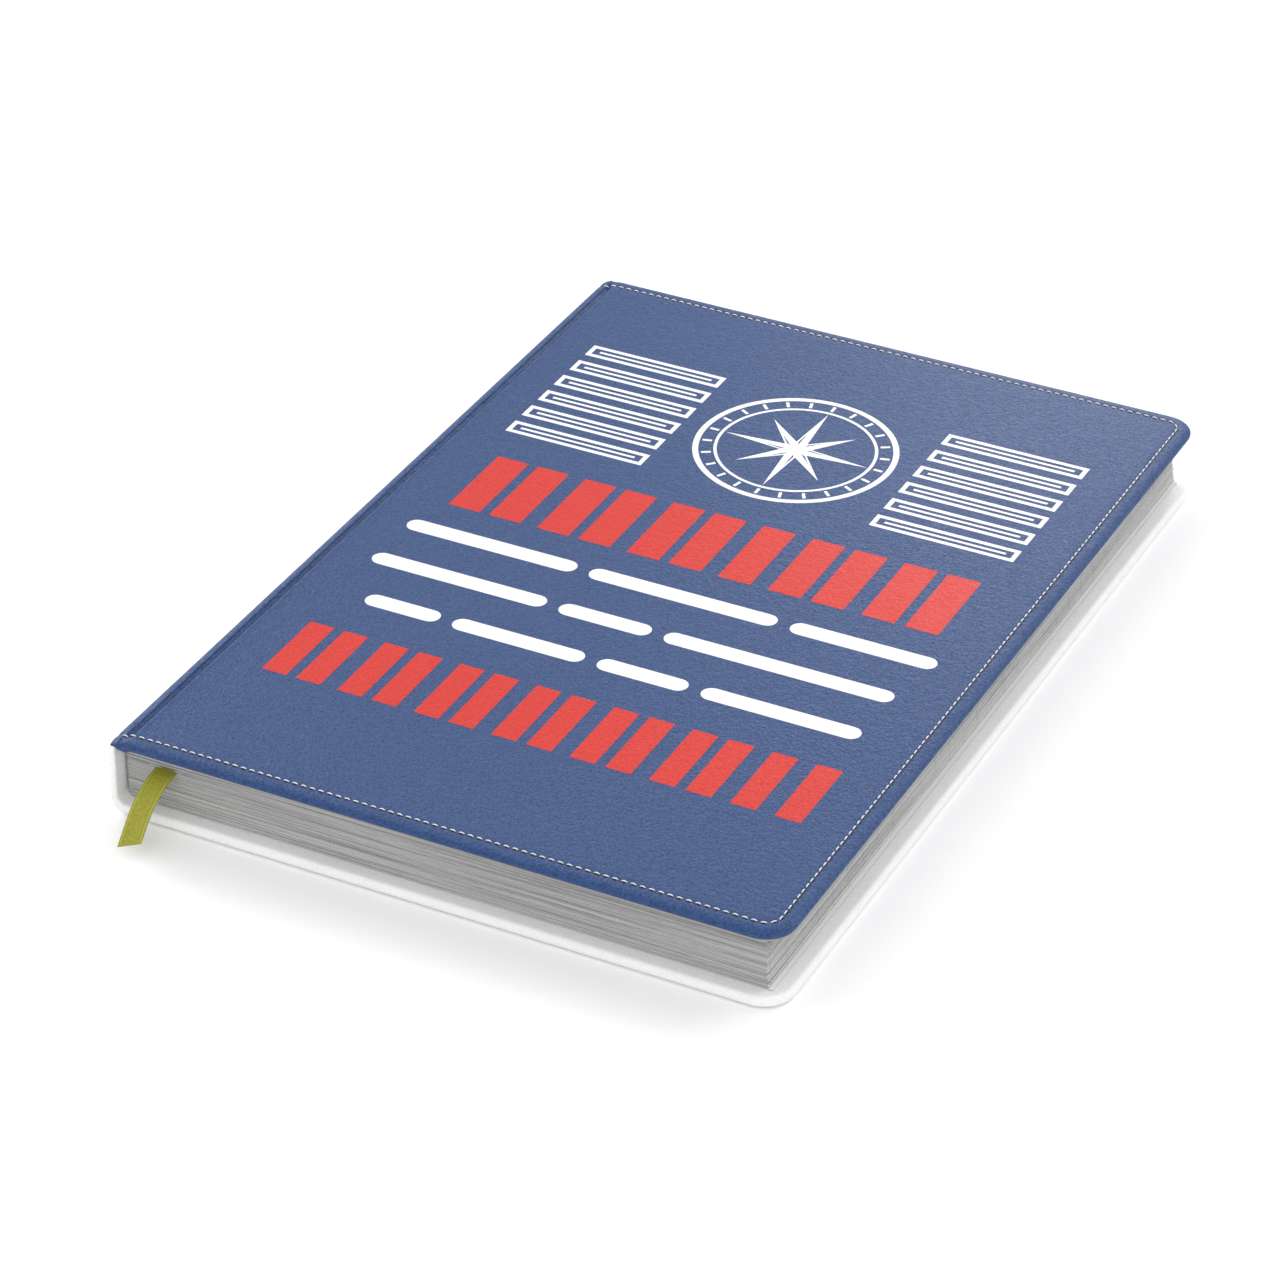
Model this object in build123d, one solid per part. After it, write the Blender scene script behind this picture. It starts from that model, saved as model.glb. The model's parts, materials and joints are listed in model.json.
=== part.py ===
"""A pilot's logbook: a sewn book block in a padded, stitched case with a ribbon marker.

Frame, in millimetres: +X from the spine to the fore-edge, +Y from the tail to the head, +Z up.
The book lies closed on its back cover. The origin is under its middle, on the surface it lies on.
"""

import os
from math import hypot, radians, sqrt, tan

from build123d import *

# Overall sizes.
COVER_HEIGHT = 216.0  # tail to head
COVER_WIDTH = 147.3  # outer face of the spine to the fore-edge
CORNER_RADIUS = 6.7  # fore-edge corners of a cover, seen from above
EDGE_RADIUS = 1.3  # rounding of a cover's edges

# What a cover is built from.
SKIN = 0.5  # imitation leather
FOAM = 0.3  # padding under the outer skin
BOARD = 1.5  # grey board
BOARD_INSET = 0.8  # from the cover's edge to its board
BOARD_CORNER = 1.0  # least corner radius of the board and the padding
TURN_IN = 15.0  # how far the skin is turned in over the board's inner face
TURN_IN_CORNER = 16.0  # sets how far the turned-in margin is rounded inside
STITCH_OFFSET = 3.6  # from the cover's edge to the seam
STITCH_CORNER = 3.0  # radius of the seam at the corners
STITCH_WIDTH = 0.5
STITCH_DEPTH = 0.25

# Papers.
PASTEDOWN = 0.12
PASTEDOWN_MARGIN = 5.0  # from the cover's edge to the pastedown
FLYLEAF = 0.15
SIGNATURE_COUNT = 14
SIGNATURE = 0.84  # eight leaves
OPENING_SIGNATURES = 3  # signatures above the ribbon, which turn with the front cover
LAYER_GAP = 0.02  # between two neighbouring layers of the closed book
SQUARE = 3.5  # how far the covers stand past the leaves at the head and the tail
FORE_SQUARE = 3.9  # the same at the fore-edge, at the lowest leaf
FORE_LEAN = 1.0  # how much further in the upper leaves end
LEAN_HEIGHT = 3.0  # over which the fore-edge curves in
FLYLEAF_PROUD = 0.6  # how far the back flyleaf stands past the lowest leaf
FOLD_CORNER = 2.0  # rounding of the block's lower spine edge
FOLD_RADIUS = 0.3  # rounding of one signature's fold

# Spine and joints, with distances measured in from the spine's outer face.
SPINE_WALL = 1.95
SPINE_BOARD = 1.0
SPINE_CORNER = 4.0  # outer rounding at the foot of the spine
SEAM_RISE = 0.2  # white spine to front skin, above the front cover's inner face
SHOULDER_X = 0.7  # width of the rounding along the spine's top edge
SHOULDER_DROP = 0.9  # how far that edge lies below the front cover
SHOULDER_FOOT = 1.3  # how far below the front cover the rounding starts
HINGE_X = 3.1  # both cover hinges
VALLEY_DEPTH = 0.5  # depth of the pressed groove
VALLEY_CLEARANCE = 0.1  # step between the two sides of a hinge
VALLEY_END = 4.1  # where the groove starts to rise
GROOVE_END = 5.5  # where the groove has risen to the cover's face
BOARD_START = 4.8
HOLLOW = 0.35  # gap between the spine and the lined block
LINING = 0.15
MULL = 0.15
MULL_FLAP = 25.0  # how far the mull reaches onto each board
LINING_END_GAP = 5.0  # from the ends of the block to the lining
MULL_END_GAP = 10.0

# Gutter of the opening leaves.
FIRST_GUTTER = 9.6  # hinge line of the front flyleaf, from the spine's outer face
FLYLEAF_TURN = 134.0  # degrees that the flyleaf turns when the cover is fully open
TURN_STEP = 11.0  # each signature below turns that much less
GUTTER_CLEARANCE = 0.08

# Sewing.
THREAD = 0.3
NOTCH = 0.35
STATION_COUNT = 6
STATION_MARGIN = 14.5  # from the ends of the block to the outer stations

# Ribbon marker.
RIBBON_WIDTH = 4.8
RIBBON = 0.2
RIBBON_CLEARANCE = 0.3  # each side of its bed in the leaf
RIBBON_BED = 0.25
ANCHOR_LENGTH = 25.0
ANCHOR_BEND = 0.8  # bends of the glued end round the head of the block
# The route between the leaves, from the head to the tail: distance from the spine, and Y.
RIBBON_ROUTE = (
    (6.6, 106.4),
    (7.4, 92.0),
    (10.3, 70.0),
    (14.0, 38.0),
    (15.6, -6.0),
    (14.6, -50.0),
    (12.7, -82.0),
    (11.83, -104.5),
)
# The free end outside the leaves, in a plane along Y: distance past the leaves' tail, and drop.
RIBBON_FALL = (
    (0.0, 0.0),
    (4.2, 0.9),
    (8.6, 2.9),
    (12.0, 6.0),
    (15.4, 9.9),
)
RIBBON_SLANT = 2.0  # the free end's cut, over the ribbon's width

# Worked out.
SPINE_X = -COVER_WIDTH / 2
FORE_X = COVER_WIDTH / 2
HALF_HEIGHT = COVER_HEIGHT / 2
COVER = 2 * SKIN + FOAM + BOARD
BLOCK = 2 * (PASTEDOWN + FLYLEAF) + SIGNATURE_COUNT * SIGNATURE
FRONT_INNER = COVER + BLOCK
TOTAL = FRONT_INNER + COVER
SPINE_SEAM = FRONT_INNER + SEAM_RISE
HALF_BLOCK = HALF_HEIGHT - SQUARE
LEAVES_FOOT = COVER + PASTEDOWN + FLYLEAF
FOLD_X = SPINE_X + SPINE_WALL + HOLLOW + LINING + MULL + LAYER_GAP
HINGE = SPINE_X + HINGE_X


def slab(low: tuple[float, float, float], high: tuple[float, float, float]) -> Part:
    """Box between two corners."""
    size = [b - a for a, b in zip(low, high)]
    return Pos(*low) * Box(*size, align=(Align.MIN, Align.MIN, Align.MIN))


def cover_plan(
    inset: float, start: float, low: float, high: float, radius: float = CORNER_RADIUS
) -> Part:
    """Plate with the cover's outline, its three free edges moved in by an inset."""
    end = FORE_X - inset
    half = HALF_HEIGHT - inset
    sketch = Pos((start + end) / 2, 0) * Rectangle(end - start, 2 * half)
    corners = sketch.vertices().filter_by(lambda v: v.X > (start + end) / 2)
    rounded = fillet(corners, max(radius - inset, BOARD_CORNER))
    return Pos(0, 0, low) * extrude(rounded, high - low)


def rim(plate: Part, beyond: float) -> ShapeList:
    """Edges of a plate's two faces, apart from those along the spine."""
    heights = (plate.bounding_box().min.Z, plate.bounding_box().max.Z)
    return plate.edges().filter_by(
        lambda e: e.center().X > beyond and any(abs(e.center().Z - z) < 1e-3 for z in heights)
    )


def seam_path(half: float, end: float, start: float) -> Wire:
    """Line of the stitches on a cover: along the tail, round the fore-edge and back along the head."""
    corners = [(start, -half), (end, -half), (end, half), (start, half)]
    return FilletPolyline(*corners, radius=STITCH_CORNER)


# One cover, drawn with its inner face at Z = 0 and its outer face up.


def cover_board() -> Part:
    """Grey board, pressed in around its inner face where the skin is turned in, and under the mull."""
    start = SPINE_X + BOARD_START
    core = cover_plan(BOARD_INSET, start, SKIN, SKIN + BOARD)
    window = cover_plan(TURN_IN, start, 0, SKIN, TURN_IN_CORNER)
    return core + window - mull_flap()


def cover_foam() -> Part:
    """Padding between the board and the outer skin, from the end of the groove."""
    return cover_plan(BOARD_INSET, SPINE_X + GROOVE_END, SKIN + BOARD, COVER - SKIN)


def seam_thread() -> Part:
    """Thread of the seam round three edges of a cover, flush with its outer face."""
    start = SPINE_X + GROOVE_END
    path = seam_path(HALF_HEIGHT - STITCH_OFFSET, FORE_X - STITCH_OFFSET, start)
    band = trace(path, STITCH_WIDTH)
    return Pos(0, 0, COVER - STITCH_DEPTH) * extrude(band, STITCH_DEPTH)


def cover_skin() -> Part:
    """Imitation leather round a cover: outer face, edges, turned-in margins and half the groove."""
    plate = cover_plan(0, HINGE, 0, COVER)
    body = fillet(rim(plate, HINGE + 0.01), EDGE_RADIUS)
    top = COVER + 1.0
    valley = COVER - VALLEY_DEPTH
    groove = Polyline(
        (HINGE - 1, valley),
        (SPINE_X + VALLEY_END, valley),
        (SPINE_X + GROOVE_END, COVER),
        (SPINE_X + GROOVE_END, top),
        (HINGE - 1, top),
        close=True,
    )
    body -= extrude(Plane.XZ * make_face(groove), HALF_HEIGHT + 1, both=True)
    low = (HINGE - 1, -HALF_HEIGHT - 1, -1)
    joint = slab(low, (SPINE_X + BOARD_START, HALF_HEIGHT + 1, valley - SKIN))
    return body - joint - cover_board() - cover_foam() - mull_flap() - seam_thread()


def mull_flap() -> Part:
    """Flap of the open-weave mull that ties the block to a board, under the pastedown."""
    start = SPINE_X + BOARD_START
    half = HALF_BLOCK - MULL_END_GAP
    return slab((start, -half, 0), (start + MULL_FLAP, half, MULL))


def pastedown() -> Part:
    """Endpaper glued over the board, the mull and the turned-in margins."""
    end = FORE_X - PASTEDOWN_MARGIN
    half = HALF_HEIGHT - PASTEDOWN_MARGIN
    return slab((SPINE_X + BOARD_START, -half, LAYER_GAP - PASTEDOWN), (end, half, 0))


COVER_PIECES = {
    "cover_board": cover_board,
    "cover_foam": cover_foam,
    "cover_skin": cover_skin,
    "cover_stitching": seam_thread,
    "mull_flap": mull_flap,
    "pastedown": pastedown,
}


def covers() -> dict[str, Part]:
    """Both covers: the front one as drawn, the back one mirrored."""
    made = {}
    for name, draw in COVER_PIECES.items():
        piece = draw()
        made[f"front_{name}"] = Pos(0, 0, FRONT_INNER) * piece
        made[f"back_{name}"] = Pos(0, 0, COVER) * mirror(piece, about=Plane.XY)
    return made


# The spine.


def corner_rise(distance: float) -> float:
    """Height of the spine's rounded foot at a distance from its outer face."""
    return SPINE_CORNER - sqrt(SPINE_CORNER**2 - (SPINE_CORNER - distance) ** 2)


def spine_board() -> Part:
    """Stiff strip inside the spine."""
    half = HALF_HEIGHT - BOARD_INSET
    side = SPINE_X + SKIN
    return slab((side, -half, COVER), (side + SPINE_BOARD, half, SPINE_SEAM - SKIN))


def spine_skin() -> Part:
    """White skin of the spine, down to the back hinge."""
    foot = corner_rise(HINGE_X)
    along = SPINE_CORNER * (1 - 0.5**0.5)
    inner = SPINE_X + SPINE_WALL
    with BuildLine() as outline:
        ThreePointArc((HINGE, foot), (SPINE_X + along, along), (SPINE_X, SPINE_CORNER))
        Line((SPINE_X, SPINE_CORNER), (SPINE_X, SPINE_SEAM))
        Line((SPINE_X, SPINE_SEAM), (inner, SPINE_SEAM))
        Line((inner, SPINE_SEAM), (inner, COVER))
        Line((inner, COVER), (HINGE, foot + SKIN))
        Line((HINGE, foot + SKIN), (HINGE, foot))
    wall = extrude(Plane.XZ * make_face(outline.line), HALF_HEIGHT, both=True)
    return wall - spine_board()


def front_hinge_skin() -> Part:
    """Coloured skin over the top of the spine, up to the front hinge."""
    valley = TOTAL - VALLEY_DEPTH - VALLEY_CLEARANCE
    shoulder = TOTAL - SHOULDER_DROP
    outline = Polyline(
        (SPINE_X, SPINE_SEAM),
        (SPINE_X + SPINE_WALL, SPINE_SEAM),
        (HINGE, valley - SKIN),
        (HINGE, valley),
        (SPINE_X + SHOULDER_X, shoulder),
        (SPINE_X, TOTAL - SHOULDER_FOOT),
        close=True,
    )
    return extrude(Plane.XZ * make_face(outline), HALF_HEIGHT, both=True)


def spine_lining() -> Part:
    """Paper lining on the back of the block, over the mull."""
    half = HALF_BLOCK - LINING_END_GAP
    outer = SPINE_X + SPINE_WALL + HOLLOW
    return slab((outer, -half, LEAVES_FOOT), (outer + LINING, half, FRONT_INNER - FLYLEAF - PASTEDOWN))


def spine_mull() -> Part:
    """Open-weave cloth glued on the folds."""
    half = HALF_BLOCK - MULL_END_GAP
    outer = SPINE_X + SPINE_WALL + HOLLOW + LINING
    return slab((outer, -half, LEAVES_FOOT), (outer + MULL, half, FRONT_INNER - FLYLEAF - PASTEDOWN))


def sewing(size: float) -> Part:
    """Vertical bars in the back of the folds at each sewing station, for the notches and the threads."""
    first = STATION_MARGIN - HALF_BLOCK
    step = -2 * first / (STATION_COUNT - 1)
    top = LEAVES_FOOT + leaves_height()
    bars = []
    for station in range(STATION_COUNT):
        y = first + station * step
        bars.append(slab((FOLD_X, y - size / 2, LEAVES_FOOT), (FOLD_X + size, y + size / 2, top)))
    return Part() + bars


# The block.


def leaves_height() -> float:
    """Height of all the signatures."""
    return SIGNATURE_COUNT * SIGNATURE - LAYER_GAP


def fore_edge(height: float) -> float:
    """X of the leaves' fore-edge at a height above the back cover: it curves in and leans back."""
    return FORE_X - FORE_SQUARE - FORE_LEAN * (1 - 2 ** (-height / LEAN_HEIGHT))


def fold_edge(height: float) -> float:
    """X of the folds at a height above the back cover: the block's lower spine edge is rounded."""
    if height >= FOLD_CORNER:
        return FOLD_X
    return FOLD_X + FOLD_CORNER - sqrt(FOLD_CORNER**2 - (FOLD_CORNER - height) ** 2)


def signature_foot(number: int) -> float:
    """Height of the lower face of a signature, counted from the front."""
    return LEAVES_FOOT + (SIGNATURE_COUNT - number) * SIGNATURE


def gutters() -> list[float]:
    """X of the hinge lines of the flyleaf and the opening signatures.

    Each lies further in than the one above, so that a leaf never meets the thickness above it.
    """
    lines = [SPINE_X + FIRST_GUTTER]
    turn = FLYLEAF_TURN
    for thickness in [FLYLEAF] + [SIGNATURE] * (OPENING_SIGNATURES - 1):
        lines.append(lines[-1] + thickness * tan(radians(turn / 2)) + GUTTER_CLEARANCE)
        turn -= TURN_STEP
    return lines


def ribbon_height() -> float:
    """Height of the face that the ribbon lies on."""
    return signature_foot(OPENING_SIGNATURES) - LAYER_GAP


def leaves(start: float, end: float, foot: float, thickness: float) -> Part:
    """Plain stack of leaves over the block's whole height."""
    return slab((start, -HALF_BLOCK, foot), (end, HALF_BLOCK, foot + thickness - LAYER_GAP))


def rounded_fold(stack: Part, start: float) -> Part:
    """The same stack with its spine edges rounded."""
    edges = stack.edges().filter_by(Axis.Y).filter_by(lambda e: abs(e.center().X - start) < 1e-3)
    return fillet(edges, FOLD_RADIUS)


def signatures() -> dict[str, Part]:
    """Signatures, numbered from the front. The opening ones are a sewn fold and the leaves that turn."""
    made = {}
    notches = sewing(NOTCH)
    hinge_lines = gutters()[1:]
    for number in range(1, SIGNATURE_COUNT + 1):
        foot = signature_foot(number)
        middle = foot + SIGNATURE / 2 - COVER
        start = fold_edge(middle)
        end = fore_edge(middle)
        if number > OPENING_SIGNATURES:
            whole = rounded_fold(leaves(start, end, foot, SIGNATURE), start)
            made[f"signature_{number:02d}"] = whole - notches
            continue
        line = hinge_lines[number - 1]
        fold = rounded_fold(leaves(start, line - LAYER_GAP, foot, SIGNATURE), start)
        made[f"signature_{number:02d}_fold"] = fold - notches
        made[f"signature_{number:02d}_leaves"] = leaves(line, end, foot, SIGNATURE)
    marked = f"signature_{OPENING_SIGNATURES + 1:02d}"
    made[marked] -= ribbon_bed()
    return made


def flyleaves() -> dict[str, Part]:
    """Free halves of the endpapers: the front one with its glued edge apart, the back one whole."""
    front = LEAVES_FOOT + SIGNATURE_COUNT * SIGNATURE
    line = gutters()[0]
    end = fore_edge(front - COVER)
    back_end = fore_edge(0) + FLYLEAF_PROUD
    back_start = fold_edge(SIGNATURE / 2)
    return {
        "front_flyleaf_edge": leaves(FOLD_X, line - LAYER_GAP, front, FLYLEAF),
        "front_flyleaf": leaves(line, end, front, FLYLEAF),
        "back_flyleaf": leaves(back_start, back_end, LEAVES_FOOT - FLYLEAF, FLYLEAF),
    }


# The ribbon.


def arc_radii(points: list[Vector]) -> list[float]:
    """Largest bend for each corner of a route: 0.45 of its shorter run over the tangent of half its turn."""
    radii = []
    for before, corner, after in zip(points, points[1:], points[2:]):
        runs = (corner - before, after - corner)
        turn = runs[0].get_angle(runs[1])
        radii.append(0.45 * min(run.length for run in runs) / tan(radians(turn / 2)))
    return radii


def route_line(points: list[tuple[float, float]], label: str) -> Wire:
    """Straight runs joined by tangent arcs, with the bends printed."""
    corners = [Vector(*point) for point in points]
    radii = arc_radii(corners)
    print(label, "bend radii", [round(radius, 1) for radius in radii])
    return FilletPolyline(*corners, radius=radii)


def flat_route() -> list[tuple[float, float]]:
    """Route between the leaves, in X and Y."""
    return [(SPINE_X + x, y) for x, y in RIBBON_ROUTE]


def ribbon_strip(width: float, thickness: float) -> Part:
    """Flat strip along the route between the leaves, its lower face on Z = 0."""
    return extrude(trace(route_line(flat_route(), "between the leaves"), width), thickness)


def ribbon_bed() -> Part:
    """Bed that the ribbon presses into the leaf below it."""
    strip = ribbon_strip(RIBBON_WIDTH + 2 * RIBBON_CLEARANCE, RIBBON_BED)
    return Pos(0, 0, ribbon_height() - RIBBON_BED) * strip


def ribbon_marker() -> Part:
    """Ribbon between the leaves."""
    floor = ribbon_height() - RIBBON_BED
    length = sum(hypot(b[0] - a[0], b[1] - a[1]) for a, b in zip(flat_route(), flat_route()[1:]))
    print("ribbon between the leaves", round(length, 1), "mm of runs")
    strip = ribbon_strip(RIBBON_WIDTH, RIBBON)
    outside = slab((SPINE_X, -HALF_HEIGHT, -1), (FORE_X, -HALF_BLOCK, 1))
    return Pos(0, 0, floor) * (strip - outside)


def ribbon_end() -> Part:
    """Free end of the ribbon, which comes out of the tail of the block and bends down."""
    x, y = flat_route()[-1]
    middle = ribbon_height() - RIBBON_BED + RIBBON / 2
    points = [(y - out, middle - drop) for out, drop in RIBBON_FALL]
    line = route_line(points, "free end")
    print("ribbon free end", round(line.length, 1), "mm")
    profile = Plane.YZ * trace(line, RIBBON)
    strip = extrude(profile, RIBBON_WIDTH / 2, both=True)
    last, before = Vector(*points[-1]), Vector(*points[-2])
    along = (last - before).normalized()
    half = RIBBON_WIDTH / 2
    back = along * RIBBON_SLANT
    cut = Polyline((-half, 0), (half, 0), (half, -RIBBON_SLANT), close=True)
    plane = Plane(origin=(0, last.X, last.Y), x_dir=(1, 0, 0), z_dir=Vector(0, back.Y, -back.X))
    tip = extrude(plane * make_face(cut), RIBBON, both=True)
    return Pos(x, 0, 0) * (strip - tip)


def ribbon_anchor() -> Part:
    """Glued end of the ribbon: down the back of the block, and round its head to the leaves."""
    side = SPINE_X + SPINE_WALL + HOLLOW - LAYER_GAP - RIBBON / 2
    x, y = flat_route()[0]
    start = HALF_BLOCK - ANCHOR_LENGTH
    near = x - RIBBON_WIDTH / 2
    path = FilletPolyline((side, start), (side, y), (near, y), radius=ANCHOR_BEND)
    foot = ribbon_height() - RIBBON_WIDTH / 2
    return Pos(0, 0, foot) * extrude(trace(path, RIBBON), RIBBON_WIDTH)


def block() -> dict[str, Part]:
    """Everything between the covers."""
    made = {
        "spine_board": spine_board(),
        "spine_skin": spine_skin(),
        "front_hinge_skin": front_hinge_skin(),
        "spine_lining": spine_lining(),
        "spine_mull": spine_mull(),
        "sewing_threads": sewing(THREAD),
        "ribbon_anchor": ribbon_anchor(),
        "ribbon_marker": ribbon_marker(),
        "ribbon_end": ribbon_end(),
    }
    return made | signatures() | flyleaves()


def main() -> None:
    """Builds every piece and writes each to its own file."""
    os.makedirs("parts", exist_ok=True)
    for name, piece in (covers() | block()).items():
        export_step(piece, f"parts/{name}.step")
    lines = [round(line - SPINE_X, 2) for line in gutters()]
    print("gutters", lines, "thickness", round(TOTAL, 3))


main()
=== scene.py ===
"""Pilot logbook: padded leather case, sewn leaves and ribbon marker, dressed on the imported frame.

Lengths are millimetres unless a name says otherwise; Mesher turns them into metres.
Frame: +X from the spine to the fore-edge, +Y from the tail to the head, +Z up.
"""

import json
import logging
import random
from abc import ABC, abstractmethod
from dataclasses import dataclass, field
from enum import Enum
from math import copysign, cos, exp, hypot, pi, radians, sin, sqrt
from typing import Any, Callable, Iterable

import bmesh
import bpy
from mathutils import Matrix, Vector, noise


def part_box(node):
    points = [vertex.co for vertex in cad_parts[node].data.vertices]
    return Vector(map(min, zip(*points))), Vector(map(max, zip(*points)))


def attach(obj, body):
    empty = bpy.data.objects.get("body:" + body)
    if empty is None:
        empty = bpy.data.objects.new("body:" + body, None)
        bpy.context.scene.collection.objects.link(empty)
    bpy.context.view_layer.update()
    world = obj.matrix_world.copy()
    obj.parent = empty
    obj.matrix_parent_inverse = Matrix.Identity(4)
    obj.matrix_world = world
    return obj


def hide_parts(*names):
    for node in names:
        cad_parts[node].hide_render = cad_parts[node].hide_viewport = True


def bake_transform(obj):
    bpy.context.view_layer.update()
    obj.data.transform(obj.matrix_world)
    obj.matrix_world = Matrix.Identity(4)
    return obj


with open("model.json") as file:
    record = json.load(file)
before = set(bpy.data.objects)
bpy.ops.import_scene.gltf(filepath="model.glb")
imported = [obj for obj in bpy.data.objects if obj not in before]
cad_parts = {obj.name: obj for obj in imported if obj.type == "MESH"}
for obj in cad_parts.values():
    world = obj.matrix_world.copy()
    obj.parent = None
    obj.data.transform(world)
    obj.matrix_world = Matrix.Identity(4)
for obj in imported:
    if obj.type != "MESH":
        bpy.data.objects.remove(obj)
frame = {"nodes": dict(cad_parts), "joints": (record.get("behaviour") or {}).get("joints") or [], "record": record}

LOG = logging.getLogger("logbook")
MM = 0.001
WELD_M = 1e-7
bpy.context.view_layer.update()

Colour = tuple[float, float, float]
Point = tuple[float, float, float]
Spot = tuple[float, float]
Grid = list[list[Point]]


class Cover(Enum):
    """The two covers, by the name their nodes start with."""

    FRONT = "front"
    BACK = "back"


def span(node: str) -> tuple[Vector, Vector]:
    """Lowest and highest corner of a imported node.

    Args:
        node: name of the node.

    Returns:
        The two corners, in millimetres.
    """
    low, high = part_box(node)
    return low / MM, high / MM


def joint_place(name: str) -> Vector:
    """Point on a joint's axis, in millimetres.

    Args:
        name: name of the joint.

    Returns:
        The point that the record gives for it.
    """
    found = next(joint for joint in frame["joints"] if joint["name"] == name)
    return Vector(found["pos_m"]) / MM


def spine_face() -> float:
    """X of the spine's outer face, from which distances across the book are counted."""
    return span("spine_skin")[0].x


def ease(value: float, low: float, high: float) -> float:
    """Smooth step from 0 at low to 1 at high.

    Args:
        value: where to read it.
        low: where it leaves 0.
        high: where it reaches 1.

    Returns:
        A number from 0 to 1.
    """
    part = min(max((value - low) / (high - low), 0.0), 1.0)
    return part * part * (3.0 - 2.0 * part)


def mix(start: float, end: float, part: float) -> float:
    """Number a part of the way from start to end."""
    return start + (end - start) * part


def quarter(distance: float, width: float) -> float:
    """Fall of a rounded edge, as a share of its height.

    Args:
        distance: how far in from the edge.
        width: how far in the rounding reaches.

    Returns:
        1 at the edge, 0 from the width inwards, along a quarter of an ellipse.
    """
    if distance >= width:
        return 0.0
    return 1.0 - sqrt(1.0 - (1.0 - distance / width) ** 2)


def bell(distance: float, width: float) -> float:
    """Bell curve: 1 at no distance, and all but 0 at twice the width."""
    return exp(-((distance / width) ** 2))


def stops(start: float, end: float, count: int) -> list[float]:
    """Evenly spaced numbers from start to end, both among them."""
    return [mix(start, end, step / (count - 1)) for step in range(count)]


# Meshes.


class Mesher:
    """Collects the corners and faces of one piece, in millimetres."""

    def __init__(self, name: str) -> None:
        """Starts an empty piece of that name.

        Args:
            name: name of the piece.
        """
        self.name = name
        self.corners: list[Point] = []
        self.faces: list[tuple[int, ...]] = []
        self.pages: set[int] = set()

    def add(self, points: Iterable[Point]) -> list[int]:
        """Adds corners.

        Args:
            points: where they are.

        Returns:
            Their numbers, for faces.
        """
        start = len(self.corners)
        self.corners.extend(points)
        return list(range(start, len(self.corners)))

    def sheet(self, upper: Grid, lower: Grid) -> None:
        """Closed sheet between two grids of points, joined all round.

        Args:
            upper: one face's rows of points.
            lower: the other face's rows, as many and as long.
        """
        tops = [self.add(row) for row in upper]
        feet = [self.add(row) for row in lower]
        first = len(self.faces)
        for rows, turn in ((tops, 1), (feet, -1)):
            for near, far in zip(rows, rows[1:]):
                for a, b, c, d in zip(near, near[1:], far[1:], far):
                    self.faces.append((a, b, c, d)[::turn])
        self.pages.update(range(first, len(self.faces)))
        rims = []
        for rows in (tops, feet):
            side = [row[-1] for row in rows[1:-1]]
            back = [row[0] for row in rows[1:-1]]
            rims.append(rows[0] + side + rows[-1][::-1] + back[::-1])
        self.band(rims[0], rims[1])

    def band(self, first: list[int], second: list[int]) -> None:
        """Faces between two closed rings of corners of equal length.

        Args:
            first: corner numbers of one ring.
            second: corner numbers of the other, in the same order.
        """
        count = len(first)
        for step in range(count):
            after = (step + 1) % count
            self.faces.append((first[step], second[step], second[after], first[after]))

    def prism(self, outline: list[Spot], low: float, high: float) -> None:
        """Closed flat plate.

        Args:
            outline: its corners, seen from above.
            low: height of its lower face.
            high: height of its upper face.
        """
        top = self.add((x, y, high) for x, y in outline)
        foot = self.add((x, y, low) for x, y in outline)
        self.faces.append(tuple(top))
        self.faces.append(tuple(reversed(foot)))
        self.band(top, foot)

    def hoop(self, outer: list[Spot], inner: list[Spot], low: float, high: float) -> None:
        """Closed flat band between two outlines of equal length.

        Args:
            outer: corners of the outer outline.
            inner: corners of the inner outline, in the same order.
            low: height of its lower face.
            high: height of its upper face.
        """
        rings = []
        for outline, height in ((outer, high), (inner, high), (inner, low), (outer, low)):
            rings.append(self.add((x, y, height) for x, y in outline))
        for ring, after in zip(rings, rings[1:] + rings[:1]):
            self.band(ring, after)

    def mark(self, mesh: bpy.types.Mesh) -> None:
        """Notes each corner's place at rest and which faces are a page's, for finishes to read.

        Args:
            mesh: the mesh, with the corners and faces as they were added.
        """
        rest = mesh.attributes.new("rest", "FLOAT_VECTOR", "POINT")
        rest.data.foreach_set("vector", [value for corner in self.corners for value in corner])
        page = mesh.attributes.new("page", "FLOAT", "FACE")
        marks = [float(face in self.pages) for face in range(len(self.faces))]
        page.data.foreach_set("value", marks)

    def build(self, finish: "Finish", crease: float = 40.0) -> bpy.types.Object:
        """Makes the object: welded, with outward normals, smooth up to the crease angle.

        Args:
            finish: its finish.
            crease: degrees from which an edge stays sharp.

        Returns:
            The object, in the scene.
        """
        mesh = bpy.data.meshes.new(self.name)
        corners = [[value * MM for value in corner] for corner in self.corners]
        mesh.from_pydata(corners, [], self.faces)
        self.mark(mesh)
        work = bmesh.new()
        work.from_mesh(mesh)
        bmesh.ops.remove_doubles(work, verts=work.verts, dist=WELD_M)
        bmesh.ops.recalc_face_normals(work, faces=work.faces)
        work.to_mesh(mesh)
        work.free()
        mesh.shade_smooth()
        mesh.set_sharp_from_angle(angle=radians(crease))
        mesh.materials.append(finish.material())
        made = bpy.data.objects.new(self.name, mesh)
        bpy.context.scene.collection.objects.link(made)
        return made


def fasten(piece: bpy.types.Object, body: str, nodes: Iterable[str] = ()) -> None:
    """Puts a finished piece on a body.

    Args:
        piece: the piece.
        body: body that it moves with.
        nodes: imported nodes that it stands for.
    """
    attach(piece, body)
    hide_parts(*nodes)
    LOG.info("%s rides on %s, %d faces", piece.name, body, len(piece.data.polygons))


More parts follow.
